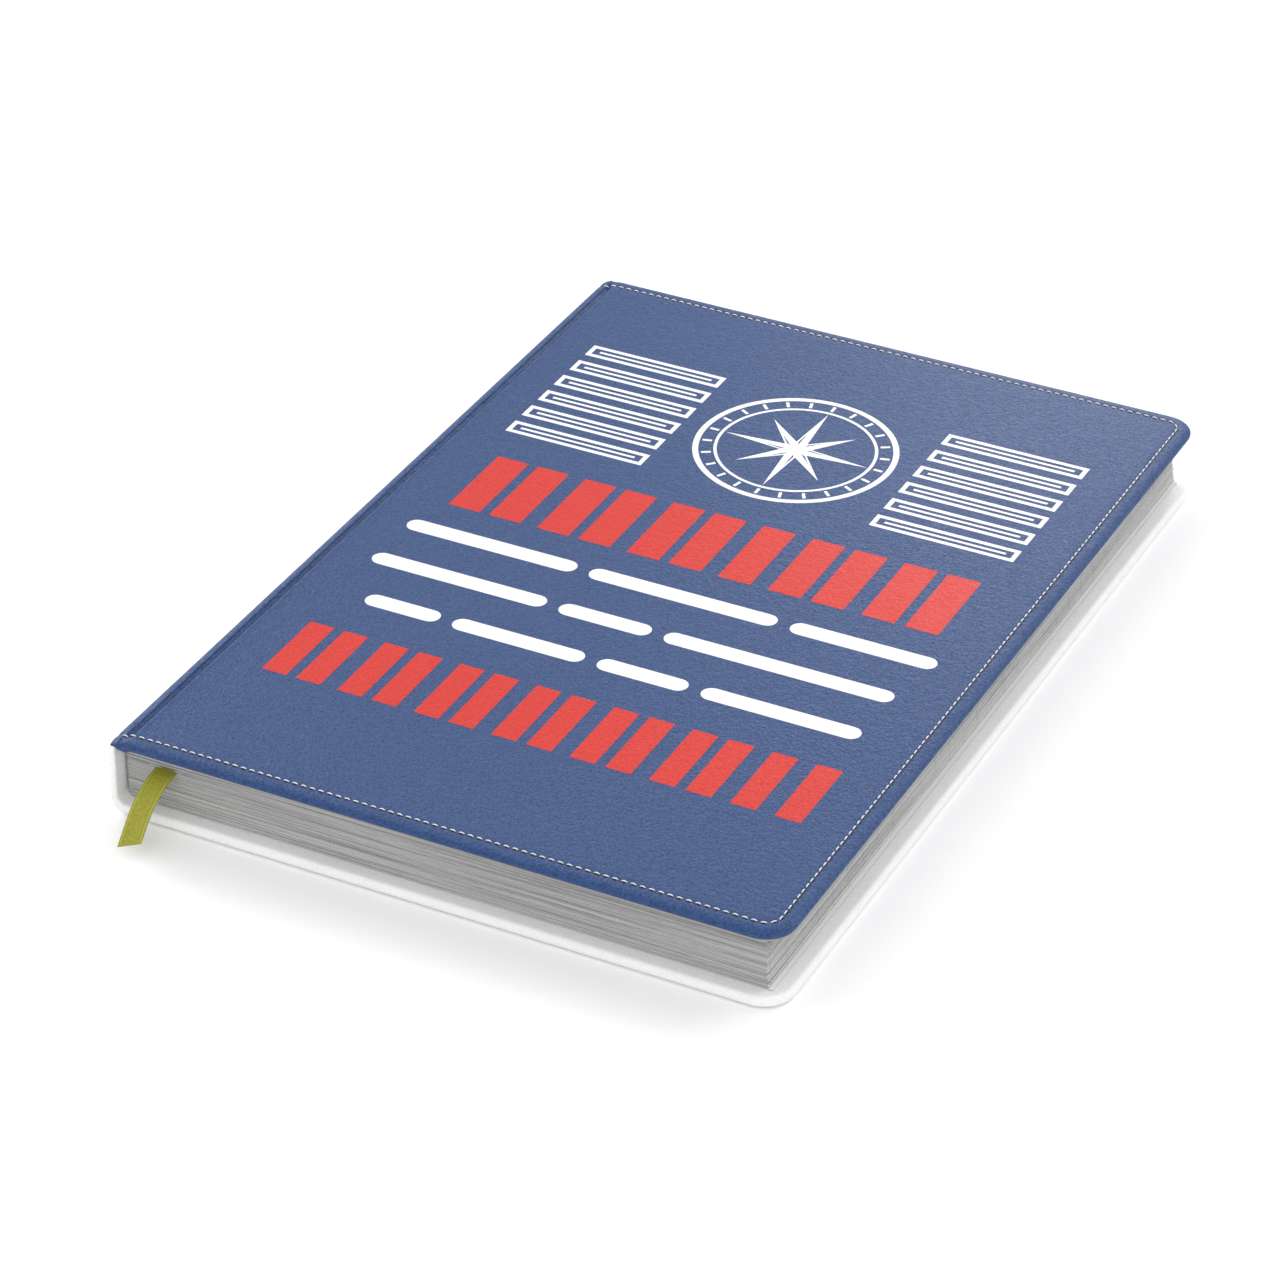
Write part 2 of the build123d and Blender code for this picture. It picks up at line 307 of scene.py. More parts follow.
@dataclass(frozen=True)
class Bend:
    """Stretch over which a piece bends from one body to the next."""

    first: str
    second: str
    start: float
    end: float
    height: float

    def apply(self, piece: bpy.types.Object, slot: str, nodes: Iterable[str]) -> None:
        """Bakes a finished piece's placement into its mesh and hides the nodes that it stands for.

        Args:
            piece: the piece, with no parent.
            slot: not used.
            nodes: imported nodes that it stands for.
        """
        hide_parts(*nodes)
        ends = [(x * MM, 0.0, self.height * MM) for x in (self.start, self.end)]
        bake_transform(piece)
        LOG.info("%s bends from %s to %s", piece.name, self.first, self.second)


# Finishes.


class Tone:
    """A socket of a shader, so that what varies over a surface is written as an expression."""

    def __init__(self, painter: "Painter", socket: bpy.types.NodeSocket) -> None:
        """Wraps a socket of that painter's shader."""
        self.painter = painter
        self.socket = socket

    def _math(self, operation: str, first: Any, second: Any) -> "Tone":
        """Adds one Math node for two numbers or tones."""
        return self.painter.tone("ShaderNodeMath", {"operation": operation}, {0: first, 1: second})

    def __add__(self, other: Any) -> "Tone":
        """Sum."""
        return self._math("ADD", self, other)

    def __radd__(self, other: Any) -> "Tone":
        """Sum, number first."""
        return self._math("ADD", other, self)

    def __sub__(self, other: Any) -> "Tone":
        """Difference."""
        return self._math("SUBTRACT", self, other)

    def __rsub__(self, other: Any) -> "Tone":
        """Difference, number first."""
        return self._math("SUBTRACT", other, self)

    def __mul__(self, other: Any) -> "Tone":
        """Product."""
        return self._math("MULTIPLY", self, other)

    def __rmul__(self, other: Any) -> "Tone":
        """Product, number first."""
        return self._math("MULTIPLY", other, self)

    def above(self, limit: float, softness: float) -> "Tone":
        """1 where the tone is above the limit, 0 below, over a soft step.

        Args:
            limit: middle of the step.
            softness: width of the step.

        Returns:
            The mask.
        """
        low, high = limit - softness / 2, limit + softness / 2
        settings = {"interpolation_type": "SMOOTHSTEP"}
        return self.painter.tone("ShaderNodeMapRange", settings, {0: self, 1: low, 2: high})

    def swing(self, period: float) -> "Tone":
        """Sine from -1 to 1 along the tone, once in each period."""
        turns = self * (2 * pi / period)
        return self.painter.tone("ShaderNodeMath", {"operation": "SINE"}, {0: turns})

    def size(self) -> "Tone":
        """The tone without its sign."""
        return self.painter.tone("ShaderNodeMath", {"operation": "ABSOLUTE"}, {0: self})


class Painter:
    """Builds one material's nodes."""

    def __init__(self, name: str) -> None:
        """Starts an empty material of that name.

        Args:
            name: name of the material.
        """
        self.material = bpy.data.materials.new(name)
        self.material.use_nodes = True
        self.tree = self.material.node_tree
        self.tree.nodes.clear()

    def node(self, kind: str, settings: dict[str, Any], inputs: dict[Any, Any]) -> bpy.types.Node:
        """Adds a node.

        Args:
            kind: its type.
            settings: its own settings, a ramp's stops among them, which are set first.
            inputs: values or tones for its sockets, by name or number.

        Returns:
            The node.
        """
        made = self.tree.nodes.new(kind)
        for name, value in settings.items():
            if name == "stops":
                for element, place in zip(made.color_ramp.elements, value):
                    element.position = place
                continue
            setattr(made, name, value)
        for name, value in inputs.items():
            if isinstance(value, Tone):
                self.tree.links.new(value.socket, made.inputs[name])
            else:
                made.inputs[name].default_value = value
        return made

    def tone(
        self, kind: str, settings: dict[str, Any], inputs: dict[Any, Any], out: Any = 0
    ) -> Tone:
        """Adds a node and gives one of its outputs, by name or number."""
        return Tone(self, self.node(kind, settings, inputs).outputs[out])

    def place(self, stretch: Point = (1.0, 1.0, 1.0)) -> Tone:
        """Place on the piece in millimetres, each axis times its stretch.

        Args:
            stretch: factor of each axis.

        Returns:
            The place, as a vector.
        """
        spot = self.tone("ShaderNodeTexCoord", {}, {}, "Object")
        scale = tuple(part / MM for part in stretch)
        return self.tone("ShaderNodeVectorMath", {"operation": "MULTIPLY"}, {0: spot, 1: scale})

    def rest(self, stretch: Point = (1.0, 1.0, 1.0)) -> Tone:
        """Place on the unbent piece in millimetres, each axis times its stretch."""
        spot = self.tone("ShaderNodeAttribute", {"attribute_name": "rest"}, {}, "Vector")
        return self.tone("ShaderNodeVectorMath", {"operation": "MULTIPLY"}, {0: spot, 1: stretch})

    def page(self) -> Tone:
        """1 on the faces of a page, 0 on its edges."""
        return self.tone("ShaderNodeAttribute", {"attribute_name": "page"}, {}, "Fac")

    def axis(self, vector: Tone, name: str) -> Tone:
        """One part of a vector, by its letter."""
        return self.tone("ShaderNodeSeparateXYZ", {}, {0: vector}, name)

    def cloud(self, place: Tone, scale: float, detail: float = 2.0) -> Tone:
        """Soft noise around a half.

        Args:
            place: where to read it.
            scale: blots in a millimetre.
            detail: octaves of finer blots.

        Returns:
            A tone from 0 to 1.
        """
        inputs = {"Vector": place, "Scale": scale, "Detail": detail}
        return self.tone("ShaderNodeTexNoise", {}, inputs)

    def waves(self, place: Tone, axis: str, period: float) -> Tone:
        """Even ripples across an axis, from 0 to 1.

        Args:
            place: where to read them.
            axis: X, Y or Z.
            period: millimetres from one crest to the next.

        Returns:
            The tone.
        """
        return self.axis(place, axis).swing(period) * 0.5 + 0.5

    def blend(self, part: Any, first: Any, second: Any) -> Tone:
        """Colour a part of the way from first to second.

        Args:
            part: how far, from 0 to 1.
            first: colour or tone at 0.
            second: colour or tone at 1.

        Returns:
            The colour.
        """
        ends = [(*end, 1.0) if isinstance(end, tuple) else end for end in (first, second)]
        inputs = {0: part, 6: ends[0], 7: ends[1]}
        return self.tone("ShaderNodeMix", {"data_type": "RGBA"}, inputs, 2)

    def bump(self, height: Tone, depth: float) -> Tone:
        """Normal of a surface with that relief, depth in millimetres."""
        inputs = {"Height": height, "Distance": depth * MM, "Strength": 1.0}
        return self.tone("ShaderNodeBump", {}, inputs)

    def finish(self, inputs: dict[str, Any]) -> None:
        """Ends the material with the main shader.

        Args:
            inputs: values or tones for its sockets.
        """
        shader = self.node("ShaderNodeBsdfPrincipled", {}, inputs)
        output = self.node("ShaderNodeOutputMaterial", {}, {})
        self.tree.links.new(shader.outputs[0], output.inputs[0])


@dataclass(frozen=True)
class Finish:
    """A finish by name; each kind paints its own surface."""

    name: str
    colour: Colour

    def shade(self, share: float) -> Colour:
        """The colour, darker or lighter by that share, up to white."""
        return tuple(min(1.0, share * part) for part in self.colour)

    def surface(self, paint: Painter) -> dict[str, Any]:
        """Plain matt surface with a trace of cloudiness.

        Args:
            paint: what adds the nodes.

        Returns:
            Values and tones for the main shader's sockets.
        """
        cloud = paint.cloud(paint.place(), 0.01)
        return {"Base Color": paint.blend(cloud, self.shade(0.995), self.colour), "Roughness": 0.9}

    def material(self) -> bpy.types.Material:
        """The material, made once.

        Returns:
            The material.
        """
        own_name = f"{self.name}_finish"
        found = bpy.data.materials.get(own_name)
        if found is not None:
            return found
        paint = Painter(own_name)
        paint.finish(self.surface(paint))
        return paint.material


@dataclass(frozen=True)
class Leather(Finish):
    """Imitation leather with a pebble grain, plain or printed over.

    Scales are in pebbles, wrinkles, pores or specks to the millimetre; the other values are shares.
    """

    grain: float = 1.1
    depth: float = 0.25
    roughness: float = 0.48
    # Share of the colour in the grain's crevices and dark specks: painted shade of the relief.
    crevice_shade: float = 0.5
    coat: float = 0.03
    coat_roughness: float = 0.3
    specular: float = 0.32
    wrinkle_scale: float = 0.55
    pore_scale: float = 2.7
    speck_scale: float = 1.9
    speck_limit: float = 0.46
    speck_softness: float = 0.2
    cloud_scale: float = 0.03
    cloud_shade: float = 1.08
    wrinkle_gloss: float = 0.35
    crevice_gloss: float = 0.1

    def surface(self, paint: Painter) -> dict[str, Any]:
        """Pebbles with crevices darkened by painted shade, pores, and a sheen that varies a little.

        Args:
            paint: what adds the nodes.

        Returns:
            Values and tones for the main shader's sockets.
        """
        place = paint.place()
        inputs = {"Vector": place, "Scale": self.grain, "Randomness": 1.0}
        cells = paint.tone("ShaderNodeTexVoronoi", {"feature": "SMOOTH_F1"}, inputs)
        wrinkle = paint.cloud(place, self.wrinkle_scale, 4.0)
        pores = paint.cloud(place, self.pore_scale, 3.0)
        relief = (1.0 - cells) * 0.6 + wrinkle * 0.5 + pores * 0.7
        cloud = paint.cloud(place, self.cloud_scale)
        # Below the limit the grain takes the crevice colour: painted shade in its hollows, as the bump alone shows
        # little.
        specks = paint.cloud(place, self.speck_scale, 3.0) * 0.6 + pores * 0.4
        raised = specks.above(self.speck_limit, self.speck_softness)
        body = paint.blend(cloud, self.colour, self.shade(self.cloud_shade))
        uneven = (wrinkle - 0.5) * self.wrinkle_gloss
        return {
            "Base Color": paint.blend(raised, self.shade(self.crevice_shade), body),
            "Roughness": self.roughness + uneven + (1.0 - raised) * self.crevice_gloss,
            "Normal": paint.bump(relief, self.depth),
            "Specular IOR Level": self.specular,
            "Coat Weight": cloud * self.coat,
            "Coat Roughness": self.coat_roughness,
        }


@dataclass(frozen=True)
class Thread(Finish):
    """Twisted thread."""

    period: float = 0.22
    stretch: Point = (1.0, 1.3, 0.6)
    shadow: float = 0.88
    fuzz_scale: float = 9.0
    depth: float = 0.03

    def surface(self, paint: Painter) -> dict[str, Any]:
        """Strands that cross the thread aslant.

        Args:
            paint: what adds the nodes.

        Returns:
            Values and tones for the main shader's sockets.
        """
        place = paint.place(self.stretch)
        slant = paint.axis(place, "X") + paint.axis(place, "Y") + paint.axis(place, "Z")
        ply = slant.swing(self.period) * 0.5 + 0.5
        fuzz = paint.cloud(place, self.fuzz_scale) * 0.4
        return {
            "Base Color": paint.blend(ply * 0.6 + fuzz, self.shade(self.shadow), self.colour),
            "Roughness": 0.62,
            "Normal": paint.bump(ply + fuzz, self.depth),
        }


@dataclass(frozen=True)
class Paper(Finish):
    """Uncoated paper: ruled on its faces where there is a rule, and layered on its edges."""

    rule: float = 0.0
    rule_colour: Colour = (0.36, 0.44, 0.56)
    leaf: float = 0.105
    leaf_drift: float = 1.6
    fibre_scale: float = 2.6
    fibre_stretch: Point = (0.6, 1.0, 1.0)
    drift_stretch: Point = (0.03, 0.03, 0.5)
    layer_stretch: Point = (0.02, 0.02, 3.0)
    layer_limit: float = 0.48
    layer_softness: float = 0.26
    # Shares of the colour on the edges, between the leaves and on them: painted shade.
    edge_painted_shades: Spot = (0.2, 0.55)
    fibre_shade: float = 0.97
    depth: float = 0.05

    def surface(self, paint: Painter) -> dict[str, Any]:
        """Fibres on the faces; on the edges, painted shade: darker than the faces all over, with a finer painted
        shadow between the leaves.

        Args:
            paint: what adds the nodes.

        Returns:
            Values and tones for the main shader's sockets.
        """
        place = paint.rest()
        fibres = paint.cloud(paint.rest(self.fibre_stretch), self.fibre_scale, 5.0)
        flat = paint.page()
        drift = paint.cloud(paint.rest(self.drift_stretch), 1.0, 3.0)
        leaves = (paint.axis(place, "Z") + drift * self.leaf_drift).swing(self.leaf)
        edges = leaves * 0.1 + paint.cloud(paint.rest(self.layer_stretch), 1.0, 4.0)
        # Both edge tones are painted shade, darker than the pages as under the covers' overhang.
        shadow, lighter_edge_shade = (self.shade(share) for share in self.edge_painted_shades)
        side = paint.blend(edges.above(self.layer_limit, self.layer_softness), shadow, lighter_edge_shade)
        page = paint.blend(fibres, self.shade(self.fibre_shade), self.colour)
        if self.rule:
            ink = paint.waves(place, "Y", self.rule).above(0.995, 0.006)
            page = paint.blend(ink * 0.5, page, self.rule_colour)
        return {
            "Base Color": paint.blend(flat, side, page),
            "Roughness": 0.85,
            "Normal": paint.bump(fibres * 0.3 + edges * (1.0 - flat), self.depth),
        }


@dataclass(frozen=True)
class Satin(Finish):
    """Woven ribbon with firm selvedges, ribbed across its length.

    Places across it are shares of its width, counted from its middle line.
    """

    selvedge: Colour = (0.46, 0.46, 0.08)
    rib: float = 0.28
    warps: int = 22
    lines: Point = (0.335, 0.375, 0.42)
    line_softness: float = 0.02
    wear_scale: float = 2.2
    shadow: float = 0.5
    depth: float = 0.03

    def surface(self, paint: Painter) -> dict[str, Any]:
        """Ribs along the length and paler lines near both sides, read from the strip's own map.

        Args:
            paint: what adds the nodes.

        Returns:
            Values and tones for the main shader's sockets.
        """
        spot = paint.tone("ShaderNodeTexCoord", {}, {}, "UV")
        ribs = paint.waves(spot, "X", self.rib)
        warp = paint.waves(spot, "Y", 1 / self.warps)
        aside = (paint.axis(spot, "Y") - 0.5).size()
        inner, middle, outer = (aside.above(line, self.line_softness) for line in self.lines)
        dark = inner * (1.0 - middle)
        pale = middle * (1.0 - outer)
        worn = paint.cloud(paint.place(), self.wear_scale, 5.0).above(0.5, 0.4)
        deep = self.shade(self.shadow)
        body = paint.blend(worn * 0.5 + ribs * 0.25 + warp * 0.25, deep, self.colour)
        return {
            "Base Color": paint.blend(pale * 0.7, paint.blend(dark * 0.7, body, deep), self.selvedge),
            "Roughness": 0.5 + ribs * 0.15,
            "Normal": paint.bump(ribs * 0.5 + warp * 0.5 + worn * 0.3, self.depth),
        }


@dataclass(frozen=True)
class Cloth(Finish):
    """Open plain weave, stiffened with glue."""

    pitch: float = 0.9
    shadow: float = 0.6
    depth: float = 0.08

    def surface(self, paint: Painter) -> dict[str, Any]:
        """Threads both ways, with glue between them.

        Args:
            paint: what adds the nodes.

        Returns:
            Values and tones for the main shader's sockets.
        """
        place = paint.place()
        one = paint.waves(place, "Y", self.pitch)
        two = paint.waves(place, "X", self.pitch) + paint.waves(place, "Z", self.pitch)
        weave = one * 0.5 + two * 0.25
        return {
            "Base Color": paint.blend(weave, self.shade(self.shadow), self.colour),
            "Roughness": 0.8,
            "Normal": paint.bump(weave, self.depth),
        }


@dataclass(frozen=True)
class Fibreboard(Finish):
    """Board, kraft paper or foam: matt, with fibres or cells of one size."""

    cell: float = 1.2
    cloud_scale: float = 0.08
    shadow: float = 0.72
    depth: float = 0.06

    def surface(self, paint: Painter) -> dict[str, Any]:
        """Flecks over a coarser cloud.

        Args:
            paint: what adds the nodes.

        Returns:
            Values and tones for the main shader's sockets.
        """
        place = paint.place()
        fleck = paint.cloud(place, self.cell, 6.0)
        body = fleck * 0.7 + paint.cloud(place, self.cloud_scale) * 0.3
        return {
            "Base Color": paint.blend(body, self.shade(self.shadow), self.colour),
            "Roughness": 0.9,
            "Normal": paint.bump(fleck, self.depth),
        }


BLUE = Leather("blue_leather", (0.019, 0.062, 0.195))
WHITE = Leather("white_leather", (0.82, 0.82, 0.82), grain=0.9, depth=0.04, crevice_shade=0.97)
RED_PRINT = Leather("red_print", (0.60, 0.020, 0.010), depth=0.12, crevice_shade=0.82)
WHITE_PRINT = Leather("white_print", (0.88, 0.88, 0.88), depth=0.1, crevice_shade=0.85)
# Dark slots under the stitches: painted shadow where the needle pierced and under the thread.
NEEDLE_HOLE_SHADOW = Leather("needle_hole_shadow", (0.010, 0.016, 0.040), coat=0.0)
PALE_HOLE_SHADOW = Leather("pale_needle_hole_shadow", (0.30, 0.30, 0.31), coat=0.0)
SEAM_THREAD = Thread("seam_thread", (0.96, 0.96, 0.96))
SEWING_THREAD = Thread("sewing_thread", (0.78, 0.72, 0.60))
LEAF_PAPER = Paper("leaf_paper", (0.80, 0.80, 0.79), rule=7.0)
ENDPAPER = Paper("endpaper", (0.84, 0.84, 0.83))
RIBBON_SATIN = Satin("ribbon_satin", (0.40, 0.39, 0.025))
MULL_CLOTH = Cloth("mull_cloth", (0.80, 0.76, 0.64))
GREY_BOARD = Fibreboard("grey_board", (0.40, 0.37, 0.33))
KRAFT = Fibreboard("lining_paper", (0.50, 0.37, 0.24), cell=2.5)
FOAM = Fibreboard("padding_foam", (0.80, 0.80, 0.77), cell=3.5)

CARRIED_OVER = {
    "grey_board": GREY_BOARD,
    "padding_foam": FOAM,
    "sewing_thread": SEWING_THREAD,
    "mull_cloth": MULL_CLOTH,
    "lining_paper": KRAFT,
    "endpaper": ENDPAPER,
    "leaf_paper": LEAF_PAPER,
    "blue_leather": BLUE,
    "white_leather": WHITE,
    "seam_thread": SEAM_THREAD,
    "ribbon_satin": RIBBON_SATIN,
}


def dress_packed_nodes() -> None:
    """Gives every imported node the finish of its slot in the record."""
    for part in frame["record"]["subparts"]:
        node = frame["nodes"][part["node"]]
        node.data.materials.clear()
        node.data.materials.append(CARRIED_OVER[part["material_slot"]].material())


# The case.


@dataclass
class Column:
    """One line of a skin from tail to head: where its outer and inner face lie across the book."""

    outer: Spot
    inner: Spot
    end_height: float | None = None

    def face(self, grooved: float) -> Spot:
        """Outer place where the pressed groove has that share of its depth.

        Args:
            grooved: the share.

        Returns:
            X and Z of the place.
        """
        if self.end_height is None:
            return self.outer
        return self.outer[0], mix(self.end_height, self.outer[1], grooved)


@dataclass
class Skin(ABC):
    """Skin of one cover with its share of the spine, rounded at its edges and sunk along its seam."""

    low_x: float = field(default_factory=spine_face)
    high_x: float = field(default_factory=lambda: span("front_cover_skin")[1].x)
    half: float = field(default_factory=lambda: span("front_cover_skin")[1].y)
    top: float = field(default_factory=lambda: span("front_cover_skin")[1].z)
    wall: float = 1.95
    corner: float = 6.7
    rounding: float = 2.2
    rounding_rings: int = 7
    rounding_power: float = 1.9
    lower_rounding: float = 0.9
    spine_rounding: float = 0.4
    onto_cover: Spot = (2.5, 6.5)
    upper_share: float = 0.5
    seam_lift: float = 1.0
    edge_set: float = 0.62
    seam_inset: float = 3.6
    seam_sink: float = 0.14
    seam_width: float = 0.5
    seam_reach: float = 0.6
    seam_rings: int = 5
    seam_low: float = 0.5
    last_ring: float = 5.0
    groove_start: float = 3.3
    groove_end: float = 5.6
    groove_fade: Spot = (1.2, 5.0)
    groove_lines: int = 8
    past_groove: float = 0.6
    plate_start: float = 1.2
    plate_lines: int = 32
    row_step: float = 4.5
    crease: float = 48.0

    @property
    def seam_height(self) -> float:
        """Height at which the blue skin meets the white one on the spine."""
        return span("spine_skin")[1].z + self.seam_lift

    @abstractmethod
    def columns(self) -> list[Column]:
        """Lines of the skin from the seam on the spine to where the fore-edge's rings start."""

    @abstractmethod
    def height(self, x: float, y: float) -> float:
        """Height of the outer face at a place, apart from its rounded edges and the seam."""

    def insets(self) -> list[float]:
        """Distances in from the free edges of the rings of points, close together in the roundings.

        Returns:
            The distances, from the edge inwards.
        """
        shares = stops(0, 1, self.rounding_rings + 1)
        edge = [self.rounding * share**self.rounding_power for share in shares]
        low, high = self.seam_inset - self.seam_reach, self.seam_inset + self.seam_reach
        return edge + stops(low, high, self.seam_rings) + [self.last_ring, self.corner]

    def plate_columns(self, outer: float, inner: float) -> list[Column]:
        """Lines of the flat part, from past the groove to the fore-edge's rings.

        Args:
            outer: height of the outer face.
            inner: height of the inner face.

        Returns:
            The lines, from the spine outwards.
        """
        start = self.low_x + self.groove_end + self.plate_start
        places = stops(start, self.high_x - self.corner, self.plate_lines)
        return [Column((x, outer), (x, inner)) for x in places[:-1]]

    def rows(self) -> list[float]:
        """Y of the rows of points.

        Returns:
            The places, from the tail to the head.
        """
        rings = [inset - self.half for inset in self.insets()]
        count = round(2 * (self.half - self.corner) / self.row_step)
        middle = stops(rings[-1], -rings[-1], count)[1:-1]
        return rings + middle + [-y for y in reversed(rings)]

    def grooved(self, y: float) -> float:
        """Share of its depth that the groove has at a Y, as it runs out at the head and the tail."""
        return ease(self.half - abs(y), *self.groove_fade)

    def fore_spot(self, from_end: int, from_fore: int, y: float) -> Spot:
        """Place of a point near the fore-edge: straight in from it, or on a rounded corner.

        Args:
            from_end: its ring, counted from the tail or the head.
            from_fore: its ring, counted from the fore-edge.
            y: its Y, if it isn't in a corner.

        Returns:
            Its X and Y.
        """
        insets = self.insets()
        last = len(insets) - 1
        if max(from_end, from_fore) >= last:
            return self.high_x - insets[from_fore], y
        ring = min(from_end, from_fore)
        radius = self.corner - insets[ring]
        share = (max(from_end, from_fore) - ring) / (last - ring)
        angle = radians(45 + (45 if from_end < from_fore else -45) * share)
        reach = self.half - self.corner + radius * sin(angle)
        return self.high_x - self.corner + radius * cos(angle), copysign(reach, y)

    def grids(self) -> tuple[Grid, Grid]:
        """Outer and inner face of the skin, as rows of points along each line.

        Returns:
            The outer and the inner grid, as many points in each.
        """
        lines, rows, insets = self.columns(), self.rows(), self.insets()
        last = len(insets) - 1
        count = len(lines) + len(insets)
        outer, inner = [], []
        for line in range(count):
            from_fore = count - 1 - line
            column = lines[min(line, len(lines) - 1)]
            upper, lower = [], []
            for row, row_y in enumerate(rows):
                from_end = min(row, len(rows) - 1 - row)
                if from_fore > last:
                    y, face, under = row_y, column.face(self.grooved(row_y)), column.inner
                else:
                    x, y = self.fore_spot(from_end, from_fore, row_y)
                    face, under = (x, column.outer[1]), (x, column.inner[1])
                inset = insets[min(from_end, from_fore, last)]
                on_cover = ease(under[0] - self.low_x, *self.onto_cover)
                lower_width = mix(self.spine_rounding, self.lower_rounding, on_cover)
                upper.append(self.shaped(face, under, inset, y, self.rounding, True))
                lower.append(self.shaped(under, face, inset, y, lower_width, False))
            outer.append(upper)
            inner.append(lower)
        return outer, inner

    def shaped(
        self, place: Spot, other: Spot, inset: float, y: float, width: float, sunk: bool
    ) -> Point:
        """Point of a face, drawn towards the opposite face in the rounding and along the seam.

        Args:
            place: X and Z on the face.
            other: X and Z on the opposite face.
            inset: distance in from the nearest free edge.
            y: its Y.
            width: width of the rounding.
            sunk: whether the seam sinks this face.

        Returns:
            The point.
        """
        fall = quarter(inset, width) * (self.upper_share if sunk else 1 - self.upper_share)
        depth = hypot(other[0] - place[0], other[1] - place[1])
        if sunk and self.sewn(place[0]):
            fall += self.seam_sink * bell(inset - self.seam_inset, self.seam_width) / depth
        return mix(place[0], other[0], fall), y, mix(place[1], other[1], fall)

    def sewn(self, x: float) -> bool:
        """Whether the seam runs at that X: everywhere but on the spine's face."""
        return x - self.low_x > self.seam_low

    def build(self, name: str, finish: Finish) -> bpy.types.Object:
        """Makes the skin as one closed piece.

        Args:
            name: name of the piece.
            finish: its leather.

        Returns:
            The piece.
        """
        piece = Mesher(name)
        piece.sheet(*self.grids())
        return piece.build(finish, self.crease)


@dataclass
class FrontSkin(Skin):
    """Blue skin of the front cover, over the spine's top edge."""

    rounding: float = 2.5
    lower_rounding: float = 2.2
    upper_share: float = 0.36
    outline_inset: Spot = (0.15, 0.4)
    seam_inset: float = 3.2
    groove_start: float = 3.7
    groove_end: float = 4.9
    groove_lines: int = 20
    past_groove: float = 1.1
    plate_start: float = 1.6
    shoulder_drop: float = 0.72
    shoulder_width: float = 1.9
    shoulder_height: float = 0.82
    shoulder_steps: int = 6
    hollow: float = 0.68
    hollow_middle: float = 3.3
    hollow_width: float = 0.75
    crest: float = 0.1
    crest_width: float = 0.7
    end_rise: Spot = (0.5, 5.5)
    level_step: float = 0.08
    reach_step: float = 0.02

    def __post_init__(self) -> None:
        """Draws the outline in a little, as the thickest part of its round edge stands for it."""
        self.high_x -= self.outline_inset[0]
        self.half -= self.outline_inset[1]

    def crown(self, distance: float) -> float:
        """Height of the outer face at a distance from the spine, in the pressed groove.

        Args:
            distance: distance from the spine.

        Returns:
            The height.
        """
        rise = ease(distance, self.groove_start, self.groove_end)
        dip = self.hollow * bell(distance - self.hollow_middle, self.hollow_width)
        swell = self.crest * bell(distance - self.groove_end, self.crest_width)
        return self.top - self.shoulder_drop * (1 - rise) - dip + swell

    def end_crown(self, distance: float) -> float:
        """Height of the outer face at the head and the tail, where the groove has run out."""
        return self.top - self.shoulder_drop * (1 - ease(distance, *self.end_rise))

    def height(self, x: float, y: float) -> float:
        """Height of the outer face at a place, apart from its rounded edges and the seam.

        Args:
            x: X of the place.
            y: Y of the place.

        Returns:
            The height.
        """
        distance = x - self.low_x
        drop = self.shoulder_height * quarter(distance - self.edge_set, self.shoulder_width)
        return mix(self.end_crown(distance), self.crown(distance), self.grooved(y)) - drop

    def outline(self) -> list[Spot]:
        """Distance from the spine and height of the outer face in each line up to the flat part.

        Returns:
            Pairs of distance and height.
        """
        foot = self.crown(0) - self.shoulder_height
        made = [(self.edge_set, height) for height in stops(self.seam_height, foot, 3)[:-1]]
        for angle in stops(0, pi / 2, self.shoulder_steps + 1):
            distance = self.edge_set + self.shoulder_width * (1 - cos(angle))
            made.append((distance, foot + self.shoulder_height * sin(angle)))
        start, end = self.edge_set + self.shoulder_width, self.groove_end + self.past_groove
        across = stops(start, end, self.groove_lines)[1:]
        return made + [(distance, self.crown(distance)) for distance in across]

    def columns(self) -> list[Column]:
        """Up the spine's face, round the shoulder, through the groove and onto the cover.

        Returns:
            The lines, from the spine outwards.
        """
        inner_height = span("front_cover_skin")[0].z
        made = []
        reach = self.wall
        for number, (distance, height) in enumerate(self.outline()):
            level = max(inner_height, self.seam_height - self.level_step * number)
            end = height + self.end_crown(distance) - self.crown(distance)
            raised = end if distance > self.edge_set else height
            place, under = (self.low_x + distance, height), (self.low_x + reach, level)
            made.append(Column(place, under, raised))
            reach = max(reach + self.reach_step, distance)
        return made + self.plate_columns(self.top, inner_height)


